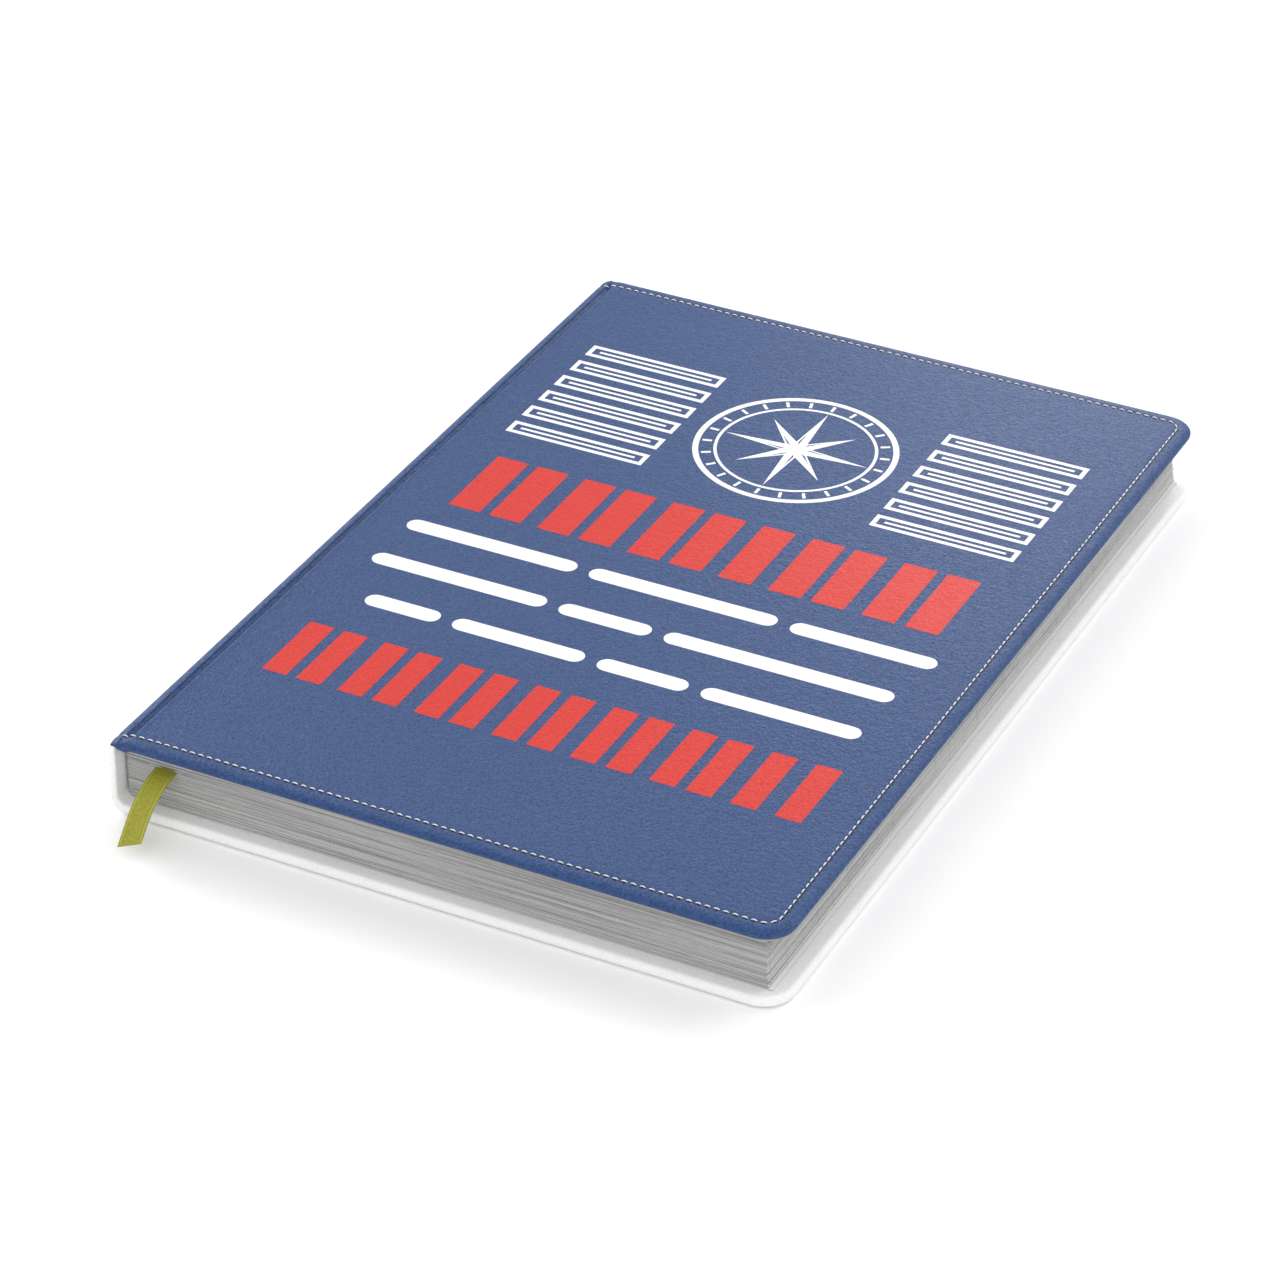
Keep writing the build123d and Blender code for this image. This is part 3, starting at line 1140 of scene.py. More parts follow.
@dataclass
class BackSkin(Skin):
    """White skin of the spine and the back cover, round the spine's foot."""

    foot: float = 4.0
    foot_turn: float = 63.5
    foot_steps: int = 10
    face_lines: int = 9
    under_lines: int = 6
    inner_corner: float = 2.0
    groove_depth: float = 0.42
    edge_drops: tuple[float, ...] = (0.0, 0.05, 0.15, 0.35, 0.65, 1.0)

    def sewn(self, x: float) -> bool:
        """Whether the seam runs at that X: only past the groove."""
        return x - self.low_x > self.groove_end

    def height(self, x: float, y: float) -> float:
        """Height of the outer face, which is flat where the seam runs."""
        return 0.0

    def valley(self, distance: float, height: float) -> float:
        """Height of the outer face once the groove has faded towards the cover."""
        return height * (1 - ease(distance, self.groove_start, self.groove_end))

    def columns(self) -> list[Column]:
        """Down the spine, round its foot, through the groove and onto the cover.

        Returns:
            The lines, from the spine outwards.
        """
        inner_height = span("back_cover_skin")[1].z
        corner_top = inner_height + self.inner_corner
        made = []
        edge = [self.seam_height - drop for drop in self.edge_drops]
        for height in edge + stops(edge[-1], corner_top, self.face_lines)[1:-1]:
            inward = self.edge_set * quarter(self.seam_height - height, self.edge_drops[-1])
            made.append(Column((self.low_x + inward, height), (self.low_x + self.wall, height)))
        outline = []
        for angle in stops(0, radians(self.foot_turn), self.foot_steps + 1):
            outline.append((self.foot * (1 - cos(angle)), self.foot * (1 - sin(angle))))
        outline[0] = (0.0, corner_top)
        reach = self.wall + self.inner_corner
        under = stops(outline[-1][0], reach, self.under_lines)[1:]
        outline += [(distance, self.groove_depth) for distance in under]
        for angle, (distance, height) in zip(stops(0, pi / 2, len(outline)), outline):
            x = reach - self.inner_corner * cos(angle)
            z = corner_top - self.inner_corner * sin(angle)
            place = (self.low_x + distance, self.valley(distance, height))
            made.append(Column(place, (self.low_x + x, z)))
        valley_end = self.groove_end + self.past_groove
        for distance in stops(reach, valley_end, self.groove_lines)[1:]:
            x = self.low_x + distance
            made.append(Column((x, self.valley(distance, self.groove_depth)), (x, inner_height)))
        return made + self.plate_columns(0.0, inner_height)


@dataclass
class Seam:
    """Row of stitches round the three free edges of a cover."""

    skin: Skin
    start: float
    up: float
    corner: float = 3.2
    pitch: float = 1.93
    length: float = 1.3
    width: float = 0.3
    arch: float = 0.2
    flatness: float = 0.8
    taper: float = 0.35
    clearance: float = 0.02
    tip: float = -0.12
    parts: tuple[float, ...] = (-0.9, -0.6, -0.2, 0.2, 0.6, 0.9)
    sides: int = 6
    # Sizes of the dark slot under a stitch, which is painted shadow.
    hole_length: float = 1.7
    hole_width: float = 0.8
    hole_aside: float = 0.2
    hole_ahead: float = 0.1
    hole_sides: int = 12
    hole_levels: Spot = (0.035, -0.08)

    def spots(self) -> list[Point]:
        """X, Y and direction of each stitch, from the tail round the fore-edge to the head.

        Returns:
            The places, in millimetres and radians.
        """
        low = self.skin.low_x + self.start
        high = self.skin.high_x - self.skin.seam_inset - self.corner
        side = self.skin.half - self.skin.seam_inset
        middle = side - self.corner
        turn = self.corner * pi / 2
        runs = [high - low, turn, 2 * middle, turn, high - low]
        count = round(sum(runs) / self.pitch)
        made = []
        for number in range(count):
            along = (number + 0.5) * sum(runs) / count
            run = 0
            while along > runs[run]:
                along -= runs[run]
                run += 1
            swing = along / self.corner
            inward, outward = self.corner * cos(swing), self.corner * sin(swing)
            choices = (
                (low + along, -side, 0.0),
                (high + outward, -middle - inward, swing),
                (high + self.corner, -middle + along, pi / 2),
                (high + inward, middle + outward, pi / 2 + swing),
                (high - along, side, pi),
            )
            made.append(choices[run])
        return made

    def local(self, spot: Point, along: float, across: float, rise: float) -> Point:
        """Point near a stitch.

        Args:
            spot: the stitch's X, Y and direction.
            along: distance along the seam.
            across: distance towards the cover's edge.
            rise: height above the leather at the bottom of the seam.

        Returns:
            The point.
        """
        x, y, angle = spot
        ground = self.skin.height(x, y) - self.up * self.skin.seam_sink
        px = x + along * cos(angle) + across * sin(angle)
        py = y + along * sin(angle) - across * cos(angle)
        return px, py, ground + self.up * rise

    def stitch(self, piece: Mesher, spot: Point) -> None:
        """Adds one stitch: a thread that comes up, arches over and goes down.

        Args:
            piece: the threads.
            spot: the stitch's X, Y and direction.
        """
        reach = self.length / 2
        tips = [piece.add([self.local(spot, end * reach, 0, self.tip)])[0] for end in (-1, 1)]
        rings = []
        for part in self.parts:
            radius = self.width / 2 * (1 - self.taper * abs(part) ** 3)
            rise = self.arch * (1 - part**2) + self.clearance
            ring = []
            for side in range(self.sides):
                angle = 2 * pi * side / self.sides
                offset = (radius * cos(angle), radius * sin(angle) * self.flatness + rise)
                ring.append(self.local(spot, part * reach, *offset))
            rings.append(piece.add(ring))
        for ring, after in zip(rings, rings[1:]):
            piece.band(ring, after)
        for tip, ring in ((tips[0], rings[0]), (tips[1], rings[-1])):
            for side in range(self.sides):
                piece.faces.append((tip, ring[side], ring[(side + 1) % self.sides]))

    def hole(self, piece: Mesher, spot: Point) -> None:
        """Adds the dark slot that a stitch lies in, as a thin closed lens: painted shadow where the needle pierced
        and under the thread.

        Args:
            piece: the slots.
            spot: the stitch's X, Y and direction.
        """
        rings = []
        for level in self.hole_levels:
            ring = []
            for step in range(self.hole_sides):
                angle = 2 * pi * step / self.hole_sides
                along = self.hole_length / 2 * cos(angle) + self.hole_ahead
                across = self.hole_width / 2 * sin(angle) + self.hole_aside
                slope = self.skin.seam_sink * (1 - bell(across, self.skin.seam_width))
                ring.append(self.local(spot, along, across, level + slope))
            rings.append(piece.add(ring))
        piece.faces.append(tuple(rings[0]))
        piece.faces.append(tuple(reversed(rings[1])))
        piece.band(rings[0], rings[1])

    def build(
        self, name: str, body: str, hole: Finish, keep: Callable[[float], bool], nodes: list[str]
    ) -> None:
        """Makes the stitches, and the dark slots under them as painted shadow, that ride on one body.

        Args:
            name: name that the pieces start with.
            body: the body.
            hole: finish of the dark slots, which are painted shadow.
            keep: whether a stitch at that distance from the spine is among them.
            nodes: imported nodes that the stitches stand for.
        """
        thread, holes = Mesher(f"{name}_stitches"), Mesher(f"{name}_needle_hole_shadows")
        for spot in self.spots():
            if keep(spot[0] - self.skin.low_x):
                self.stitch(thread, spot)
                self.hole(holes, spot)
        fasten(thread.build(SEAM_THREAD, crease=80), body, nodes)
        fasten(holes.build(hole), body)


@dataclass(frozen=True)
class BarRow:
    """Row of printed bars: its lower and upper Y, how far from the spine it reaches, its groups."""

    height: Spot
    reach: Spot
    groups: tuple[int, ...]
    gap: float = 2.3
    wider_gap: float = 4.0


@dataclass(frozen=True)
class DashRow:
    """Row of printed dashes: Y of its middle, distance from the spine, lengths."""

    y: float
    start: float
    lengths: tuple[float, ...]
    height: float = 4.4
    gap: float = 3.1


@dataclass(frozen=True)
class Rose:
    """Sizes of the compass rose; those of its marks and points are counted in from its edge."""

    radius: float = 22.5
    edge_line: float = 1.3
    inner_ring: float = 4.6
    inner_line: float = 0.7
    marks: int = 24
    mark_reach: Spot = (4.0, 1.9)
    mark_half: float = 0.35
    points: int = 8
    long_point: float = 5.6
    short_point: float = 8.6
    waist: float = 3.4
    point_line: float = 0.42


@dataclass(frozen=True)
class Stripes:
    """Sizes of the level stripes beside the rose."""

    count: int = 6
    reach: Spot = (27.0, 60.0)
    pitch: float = 7.6
    half: float = 2.4
    line: float = 1.05
    core_inset: float = 2.6
    core_half: float = 0.35


@dataclass
class FrontPrint:
    """Printed marks on the front cover: a compass rose between stripes, and rows of bars and dashes."""

    skin: FrontSkin
    proud: float = 0.025
    sunk: float = 0.05
    centre_at: Spot = (73.5, 55.7)
    ring_sides: int = 72
    rose: Rose = Rose()
    stripes: Stripes = Stripes()
    bar_rows: tuple[BarRow, ...] = (
        BarRow((1.2, 23.8), (17.4, 130.9), (2, 2, 2, 1, 2, 2)),
        BarRow((-72.1, -52.4), (14.7, 134.2), (2, 2, 2, 2, 2, 2, 1, 1)),
    )
    dash_rows: tuple[DashRow, ...] = (
        DashRow(-9.4, 13.45, (40.1, 43.0, 32.5)),
        DashRow(-24.4, 13.45, (40.8, 21.0, 51.0)),
        DashRow(-39.4, 20.25, (17.3, 30.1, 20.2, 34.9)),
    )

    @property
    def centre(self) -> Spot:
        """Middle of the rose."""
        return self.skin.low_x + self.centre_at[0], self.centre_at[1]

    def plate(self, piece: Mesher, outline: list[Spot]) -> None:
        """Adds a filled shape."""
        piece.prism(outline, self.skin.top - self.sunk, self.skin.top + self.proud)

    def line(self, piece: Mesher, outer: list[Spot], inner: list[Spot]) -> None:
        """Adds a closed line between two outlines."""
        piece.hoop(outer, inner, self.skin.top - self.sunk, self.skin.top + self.proud)

    def bar(self, piece: Mesher, low: Spot, high: Spot) -> None:
        """Adds a bar between two corners."""
        (x0, y0), (x1, y1) = low, high
        self.plate(piece, [(x0, y0), (x1, y0), (x1, y1), (x0, y1)])

    def dash(self, piece: Mesher, start: Spot, length: float, height: float) -> None:
        """Adds a dash with round ends, its left end's middle at start.

        Args:
            piece: the ink.
            start: middle of the dash's left end.
            length: its length.
            height: its width across.
        """
        radius = height / 2
        outline = []
        for middle, first in ((start[0] + length - radius, -90), (start[0] + radius, 90)):
            for angle in stops(radians(first), radians(first + 180), 9):
                outline.append((middle + radius * cos(angle), start[1] + radius * sin(angle)))
        self.plate(piece, outline)

    def outlined(self, piece: Mesher, corners: list[Spot], width: float) -> None:
        """Adds the outline of a convex shape, drawn inwards from its corners, anticlockwise.

        Args:
            piece: the ink.
            corners: the shape's corners.
            width: width of the line.
        """
        inner = []
        count = len(corners)
        for number, corner in enumerate(corners):
            before = Vector(corner) - Vector(corners[number - 1])
            after = Vector(corners[(number + 1) % count]) - Vector(corner)
            before.normalize()
            after.normalize()
            sides = (Vector((-before.y, before.x)), Vector((-after.y, after.x)))
            move = (sides[0] + sides[1]) * (width / (1 + sides[0].dot(sides[1])))
            inner.append((corner[0] + move.x, corner[1] + move.y))
        self.line(piece, corners, inner)

    def around(self, radius: float, angle: float) -> Spot:
        """Place at a distance and an angle from the middle of the rose."""
        return self.centre[0] + radius * cos(angle), self.centre[1] + radius * sin(angle)

    def ring(self, piece: Mesher, radius: float, width: float) -> None:
        """Adds a circular line round the middle of the rose, its outside at radius.

        Args:
            piece: the ink.
            radius: outer radius.
            width: width of the line.
        """
        turns = [2 * pi * step / self.ring_sides for step in range(self.ring_sides)]
        circles = [[self.around(size, turn) for turn in turns] for size in (radius, radius - width)]
        self.line(piece, *circles)

    def add_rose(self, piece: Mesher) -> None:
        """Adds the compass rose: two rings, degree marks and an eight-pointed star in halves.

        Args:
            piece: the ink.
        """
        sizes = self.rose
        self.ring(piece, sizes.radius, sizes.edge_line)
        self.ring(piece, sizes.radius - sizes.inner_ring, sizes.inner_line)
        low, high = (sizes.radius - reach for reach in sizes.mark_reach)
        for step in range(sizes.marks):
            angle = 2 * pi * step / sizes.marks
            aside = (sizes.mark_half * sin(angle), -sizes.mark_half * cos(angle))
            outline = []
            for size, side in ((low, 1), (high, 1), (high, -1), (low, -1)):
                x, y = self.around(size, angle)
                outline.append((x + side * aside[0], y + side * aside[1]))
            self.plate(piece, outline)
        for point in range(sizes.points):
            angle = 2 * pi * point / sizes.points
            inset = sizes.short_point if point % 2 else sizes.long_point
            tip = self.around(sizes.radius - inset, angle)
            knees = [self.around(sizes.waist, angle + side * pi / sizes.points) for side in (-1, 1)]
            self.plate(piece, [self.centre, knees[0], tip])
            self.outlined(piece, [self.centre, tip, knees[1]], sizes.point_line)

    def add_stripes(self, piece: Mesher) -> None:
        """Adds the level stripes on both sides of the rose, outlined, with a line in each.

        Args:
            piece: the ink.
        """
        sizes = self.stripes
        inset = sizes.core_inset
        for number in range(sizes.count):
            middle = self.centre[1] + (number - (sizes.count - 1) / 2) * sizes.pitch
            low, high = middle - sizes.half, middle + sizes.half
            for side in (-1, 1):
                near, far = sorted(self.centre[0] + side * reach for reach in sizes.reach)
                corners = [(near, low), (far, low), (far, high), (near, high)]
                self.outlined(piece, corners, sizes.line)
                core = (middle - sizes.core_half, middle + sizes.core_half)
                self.bar(piece, (near + inset, core[0]), (far - inset, core[1]))

    def add_bars(self, piece: Mesher, row: BarRow) -> None:
        """Adds a row of bars of equal width, in groups.

        Args:
            piece: the ink.
            row: sizes of the row.
        """
        gaps = sum(count - 1 for count in row.groups) * row.gap
        gaps += (len(row.groups) - 1) * row.wider_gap
        width = (row.reach[1] - row.reach[0] - gaps) / sum(row.groups)
        reach = self.skin.low_x + row.reach[0]
        for count in row.groups:
            for _ in range(count):
                self.bar(piece, (reach, row.height[0]), (reach + width, row.height[1]))
                reach += width + row.gap
            reach += row.wider_gap - row.gap

    def add_dashes(self, piece: Mesher, row: DashRow) -> None:
        """Adds a row of dashes with even gaps.

        Args:
            piece: the ink.
            row: sizes of the row.
        """
        reach = self.skin.low_x + row.start
        for length in row.lengths:
            self.dash(piece, (reach, row.y), length, row.height)
            reach += length + row.gap

    def build(self) -> None:
        """Makes the white and the red ink, which ride on the front cover."""
        white, red = Mesher("front_white_print"), Mesher("front_red_print")
        self.add_rose(white)
        self.add_stripes(white)
        for row in self.bar_rows:
            self.add_bars(red, row)
        for row in self.dash_rows:
            self.add_dashes(white, row)
        fasten(white.build(WHITE_PRINT), "front_cover")
        fasten(red.build(RED_PRINT), "front_cover")


@dataclass
class Endpaper:
    """Half of an endpaper that is glued to a cover, with the strip that reaches to the block."""

    cover: Cover
    start: float
    bend_end: float
    thickness: float = 0.09
    clearance: float = 0.02
    ramp: float = 1.2
    close_lines: tuple[float, int] = (6.5, 16)
    wide_lines: tuple[float, int] = (8.0, 20)
    row_count: int = 40

    def levels(self) -> tuple[float, float, float]:
        """Height at the block, height at the cover, and 1 or -1 for the way to the cover.

        Returns:
            The two heights and the way.
        """
        low, high = span(f"{self.cover.value}_pastedown")
        if self.cover is Cover.FRONT:
            return span("front_flyleaf_edge")[1].z + self.clearance, low.z, 1.0
        return span("back_flyleaf")[0].z - self.clearance, high.z, -1.0

    def build(self) -> None:
        """Makes the paper and hides the pastedown node that it stands for."""
        name = self.cover.value
        low, high = span(f"{name}_pastedown")
        block, board, toward = self.levels()
        left = spine_face()
        rows = stops(low.y, high.y, self.row_count)
        lines = stops(self.start, *self.close_lines)
        end, count = self.wide_lines
        lines += stops(end, high.x - left, count)
        upper, lower = [], []
        for distance in lines:
            foot = mix(block, board, ease(distance, self.start, self.start + self.ramp))
            top = foot + toward * self.thickness
            lower.append([(left + distance, y, foot) for y in rows])
            upper.append([(left + distance, y, top) for y in rows])
        piece = Mesher(f"{name}_endpaper")
        piece.sheet(upper, lower)
        height = joint_place(f"{name}_cover_hinge").z
        ends = (left + self.start, left + self.bend_end)
        bend = Bend("book_block", f"{name}_cover", *ends, height)
        bend.apply(piece.build(ENDPAPER), "endpaper", [f"{name}_pastedown"])


@dataclass
class Case:
    """Both skins, their seams, the print and the glued endpapers."""

    bend_start: float = 2.3
    bend_end: float = 3.9
    front_seam_start: float = 1.6
    back_seam_start: float = 6.0

    def bend(self, cover: Cover) -> Bend:
        """Stretch of the skin that folds when a cover opens.

        Args:
            cover: the cover.

        Returns:
            The stretch, for the skin of that cover.
        """
        height = joint_place(f"{cover.value}_cover_hinge").z
        ends = (spine_face() + self.bend_start, spine_face() + self.bend_end)
        return Bend("book_block", f"{cover.value}_cover", *ends, height)

    def build(self) -> None:
        """Makes every piece of the case."""
        front, back = FrontSkin(), BackSkin()
        hinge = joint_place("front_cover_hinge").x - front.low_x
        blue = front.build("front_skin", BLUE)
        self.bend(Cover.FRONT).apply(blue, "blue_leather", ["front_cover_skin", "front_hinge_skin"])
        white = back.build("spine_and_back_skin", WHITE)
        self.bend(Cover.BACK).apply(white, "white_leather", ["back_cover_skin", "spine_skin"])
        seam = Seam(front, start=self.front_seam_start, up=1.0)
        stitching = ["front_cover_stitching"]
        seam.build("front", "front_cover", NEEDLE_HOLE_SHADOW, lambda place: place > hinge, stitching)
        seam.build("spine_top", "book_block", NEEDLE_HOLE_SHADOW, lambda place: place <= hinge, [])
        under = Seam(back, start=self.back_seam_start, up=-1.0)
        under.build("back", "back_cover", PALE_HOLE_SHADOW, lambda place: True, ["back_cover_stitching"])
        FrontPrint(front).build()
        Endpaper(Cover.FRONT, start=2.8, bend_end=4.4).build()
        Endpaper(Cover.BACK, start=3.7, bend_end=4.9).build()


# The ribbon.


@dataclass
class Ribbon:
    """Ribbon marker: glued down the back of the block, round its head, between the leaves and out."""

    width: float = 4.8
    thickness: float = 0.2
    glued: tuple[Spot, ...] = (
        (2.18, 79.5),
        (2.18, 90.0),
        (2.18, 99.0),
        (2.25, 104.6),
        (3.0, 106.6),
    )
    route: tuple[Spot, ...] = (
        (6.6, 106.4),
        (7.4, 92.0),
        (10.3, 70.0),
        (14.0, 38.0),
        (15.6, -6.0),
        (14.6, -50.0),
        (12.7, -82.0),
        (11.83, -104.5),
    )
    fall: tuple[Spot, ...] = ((4.2, 0.9), (8.6, 2.9), (12.0, 6.0), (15.4, 9.9))
    slant: float = 2.0
    slant_reach: float = 6.0
    twist: Spot = (24.0, 37.0)
    steps_across: int = 9
    edge_thinning: float = 0.4
    length_m: float = 0.259

    def level(self) -> float:
        """Height of the ribbon's middle between the leaves."""
        low, high = span("ribbon_marker")
        return (low.z + high.z) / 2

    def points(self) -> list[Point]:
        """Route of the ribbon's middle, in metres.

        Returns:
            The points, from the glued end to the free one.
        """
        left, level = spine_face(), self.level()
        flat = [(left + x, y, level) for x, y in self.glued + self.route]
        x, y, z = flat[-1]
        hanging = [(x, y - out, z - drop) for out, drop in self.fall]
        return [tuple(value * MM for value in point) for point in flat + hanging]

    def line(self) -> list[Vector]:
        """Points read from the smooth line through the route, in millimetres.

        Returns:
            The points, close together.
        """
        curve = bpy.data.curves.new("ribbon_route", "CURVE")
        curve.dimensions = "3D"
        spline = curve.splines.new("NURBS")
        route = self.points()
        spline.points.add(len(route) - 1)
        for knot, place in zip(spline.points, route):
            knot.co = (*place, 1.0)
        spline.order_u = 3
        spline.use_endpoint_u = True
        spline.resolution_u = 12
        holder = bpy.data.objects.new("ribbon_route", curve)
        bpy.context.scene.collection.objects.link(holder)
        bpy.context.view_layer.update()
        mesh = bpy.data.meshes.new_from_object(holder)
        found = [vertex.co / MM for vertex in mesh.vertices]
        bpy.data.objects.remove(holder)
        bpy.data.meshes.remove(mesh)
        bpy.data.curves.remove(curve)
        return found

    def travelled(self, points: list[Vector]) -> list[float]:
        """Length of the line up to each point.

        Args:
            points: points of the line.

        Returns:
            The lengths, 0 first.
        """
        made = [0.0]
        for point, after in zip(points, points[1:]):
            made.append(made[-1] + (after - point).length)
        return made

    def directions(self, points: list[Vector]) -> list[Vector]:
        """Direction of the line at each point.

        Args:
            points: points of the line.

        Returns:
            A unit vector for each.
        """
        made = []
        for number in range(len(points)):
            before, after = max(number - 1, 0), min(number + 1, len(points) - 1)
            made.append((points[after] - points[before]).normalized())
        return made

    def sideways(self, along: Vector, travelled: float) -> Vector:
        """Direction of the ribbon's width: upright where it is glued, then flat.

        Args:
            along: the ribbon's direction.
            travelled: length of the ribbon up to there.

        Returns:
            The direction.
        """
        flat = Vector((0, 0, 1)).cross(along).normalized()
        turn = ease(travelled, *self.twist) * pi / 2
        upright = along.cross(flat).normalized()
        return flat * sin(turn) + upright * cos(turn)

    def build(self) -> list[Vector]:
        """Returns:
            The points of its middle line.
        """
        points = self.line()
        lengths = self.travelled(points)
        total = lengths[-1]
        piece = Mesher("ribbon")
        upper, lower, chart = [], [], []
        for point, along, travelled in zip(points, self.directions(points), lengths):
            side = self.sideways(along, travelled)
            face = along.cross(side).normalized() * (self.thickness / 2)
            near_end = ease(travelled, total - self.slant_reach, total)
            top, foot = [], []
            for across in stops(-0.5, 0.5, self.steps_across):
                shift = along * (-self.slant * near_end * (across + 0.5))
                curl = face * (1.0 - self.edge_thinning * (2 * across) ** 4)
                middle = point + side * (self.width * across) + shift
                top.append(tuple(middle + curl))
                foot.append(tuple(middle - curl))
                chart.append((travelled, across + 0.5))
            upper.append(top)
            lower.append(foot)
        piece.sheet(upper, lower)
        made = piece.build(RIBBON_SATIN, crease=60)
        layer = made.data.uv_layers.new(name="strip")
        for loop in made.data.loops:
            layer.data[loop.index].uv = chart[loop.vertex_index % len(chart)]
        fasten(made, "book_block", ["ribbon_anchor", "ribbon_marker", "ribbon_end"])
        LOG.info("ribbon is %.1f mm long", total)
        return points


# The leaves.


@dataclass(frozen=True)
class Ripple:
    """Slow unevenness of a leaf: turns in a millimetre along X, Y and Z, its share, its own start."""

    turns: Point
    share: float = 1.0
    shift: float = 0.0

    def at(self, x: float, y: float, z: float) -> float:
        """Height of the ripple at a place, as a share of the wave's height."""
        across, along, up = self.turns
        return self.share * noise.noise(Vector((x * across + self.shift, y * along, z * up)))


@dataclass
class LeafBlock:
    """Signatures and flyleaves, drawn as thin stacks of leaves whose edges don't quite line up."""

    ribbon: list[Vector]
    signatures: int = 14
    opening: int = 3
    stacks: int = 4
    gap: float = 0.016
    fold_set: float = 0.16
    ragged_fore: float = 0.17
    ragged_end: float = 0.13
    outward_share: float = 0.4
    tilt: float = 0.12
    fine_end: float = 0.04
    fine_fore: float = 0.06
    fine_turns: Spot = (0.08, 0.05)
    end_power: int = 6
    fore_power: int = 8
    loose_gap: float = 4.5
    loose_ragged: float = 1.8
    wave: float = 0.06
    ripples: tuple[Ripple, Ripple] = (
        Ripple((0.045, 0.03, 0.7)),
        Ripple((0.17, 0.12, 1.1), 0.45, 31.0),
    )
    bed: float = 0.25
    bed_half: float = 2.7
    bed_slope: float = 1.6
    between_end: float = 108.0
    page_curl: float = 5.0
    near_reach: float = 17.0
    near_lines: int = 9
    bedded_lines: int = 15
    middle_start: float = 24.0
    middle_lines: int = 14
    rim: Spot = (3.0, 1.0)
    row_count: int = 38
    past_glue: float = 2.0
    crease: float = 30.0
    seed: int = 41

    def __post_init__(self) -> None:
        """Finds the block's height and starts its own chance."""
        self.chance = random.Random(self.seed)
        self.foot = span("back_flyleaf")[0].z
        self.top = span("front_flyleaf")[1].z
        low = self.ribbon[0].x + self.past_glue
        between = [point for point in self.ribbon if abs(point.y) < self.between_end]
        self.marker = sorted((point.y, point.x) for point in between if point.x > low)

    def marker_x(self, y: float) -> float:
        """X of the ribbon's middle at a Y.

        Args:
            y: the Y.

        Returns:
            The X, that of the nearest end past the ends.
        """
        for (y0, x0), (y1, x1) in zip(self.marker, self.marker[1:]):
            if y0 <= y <= y1:
                return mix(x0, x1, (y - y0) / (y1 - y0))
        return self.marker[0][1] if y < self.marker[0][0] else self.marker[-1][1]

    def lift(self, x: float, y: float, z: float, bedded: float) -> float:
        """How far a leaf is out of level: a slow wave, and the bed that the ribbon presses.

        Args:
            x: where on the leaf.
            y: where on the leaf.
            z: height of the leaf.
            bedded: share of the bed that this leaf takes.

        Returns:
            The height to add.
        """
        share = (z - self.foot) / (self.top - self.foot)
        calm = max(0.0, sin(pi * share))
        wave = self.wave * calm * sum(ripple.at(x, y, z) for ripple in self.ripples)
        if bedded:
            aside = abs(x - self.marker_x(y))
            slope_end = self.bed_half + self.bed_slope
            wave -= self.bed * bedded * (1 - ease(aside, self.bed_half, slope_end))
        return wave

    def uneven(self, most: float, ragged: float) -> float:
        """Draws how far an edge stands out, less far outwards than inwards."""
        return self.chance.uniform(-most, self.outward_share * most) * ragged

    def stack(
        self, piece: Mesher, low: Vector, high: Vector, ragged: float = 1.0, bedded: Spot = (0, 0)
    ) -> None:
        """Adds one closed stack of a few leaves.

        Args:
            piece: the signature that it belongs to.
            low: its lowest corner.
            high: its highest corner.
            ragged: share of the raggedness of its edges.
            bedded: share of the ribbon's bed at its lower and upper face.
        """
        fore = self.uneven(self.ragged_fore, ragged)
        ends = [self.uneven(self.ragged_end, ragged) for _ in range(2)]
        tilt = self.chance.uniform(-self.tilt, self.tilt) * ragged
        phase = self.chance.uniform(0, 90)
        count = self.bedded_lines if any(bedded) else self.near_lines
        places = stops(low.x, low.x + self.near_reach, count)
        middle_end = high.x - self.rim[0]
        places += stops(low.x + self.middle_start, middle_end, self.middle_lines)
        places += [high.x - self.rim[1], high.x]
        upper, lower = [], []
        for x in places:
            outwards = ((x - low.x) / (high.x - low.x)) ** self.fore_power
            top, foot = [], []
            for share in stops(-1, 1, self.row_count):
                place = Vector((x * self.fine_turns[0], phase, share))
                uneven = ends[share > 0] + noise.noise(place) * self.fine_end
                y = share * (high.y + uneven * abs(share) ** self.end_power)
                place = Vector((phase, y * self.fine_turns[1], 3.0))
                fine = noise.noise(place) * self.fine_fore
                out = x + (fore + tilt * share + fine) * outwards
                top.append((out, y, high.z + self.lift(out, y, high.z, bedded[1])))
                foot.append((out, y, low.z + self.lift(out, y, low.z, bedded[0])))
            upper.append(top)
            lower.append(foot)
        piece.sheet(upper, lower)

    def stacks_of(
        self, piece: Mesher, low: Vector, high: Vector, bedded: bool = False, loose: bool = False
    ) -> None:
        """Adds the stacks of one signature, the inner ones further back over its fold.

        Args:
            piece: the signature.
            low: its lowest corner.
            high: its highest corner.
            bedded: whether the ribbon lies on it.
            loose: whether its leaves stand apart, as the last ones do.
        """
        gap = self.gap * (self.loose_gap if loose else 1.0)
        ragged = self.loose_ragged if loose else 1.0
        height = (high.z - low.z + gap) / self.stacks
        for number in range(self.stacks):
            foot = low.z + number * height
            aside = abs(number - (self.stacks - 1) / 2) - 0.5
            start = Vector((low.x + self.fold_set * aside, low.y, foot))
            end = Vector((high.x, high.y, foot + height - gap))
            shares = (number / self.stacks, (number + 1) / self.stacks) if bedded else (0.0, 0.0)
            self.stack(piece, start, end, ragged, shares)

    def closed_signature(self, number: int) -> None:
        """Makes a signature below the ribbon.

        Args:
            number: its number, counted from the front.
        """
        node = f"signature_{number:02d}"
        piece = Mesher(f"{node}_stacks")
        first, last = number == self.opening + 1, number == self.signatures
        self.stacks_of(piece, *span(node), bedded=first, loose=last)
        fasten(piece.build(LEAF_PAPER, self.crease), "book_block", [node])

    def curl(self, joint: str, body: str) -> Bend:
        """Stretch over which a leaf curls over its gutter."""
        axis = joint_place(joint)
        return Bend("book_block", body, axis.x, axis.x + self.page_curl, axis.z)

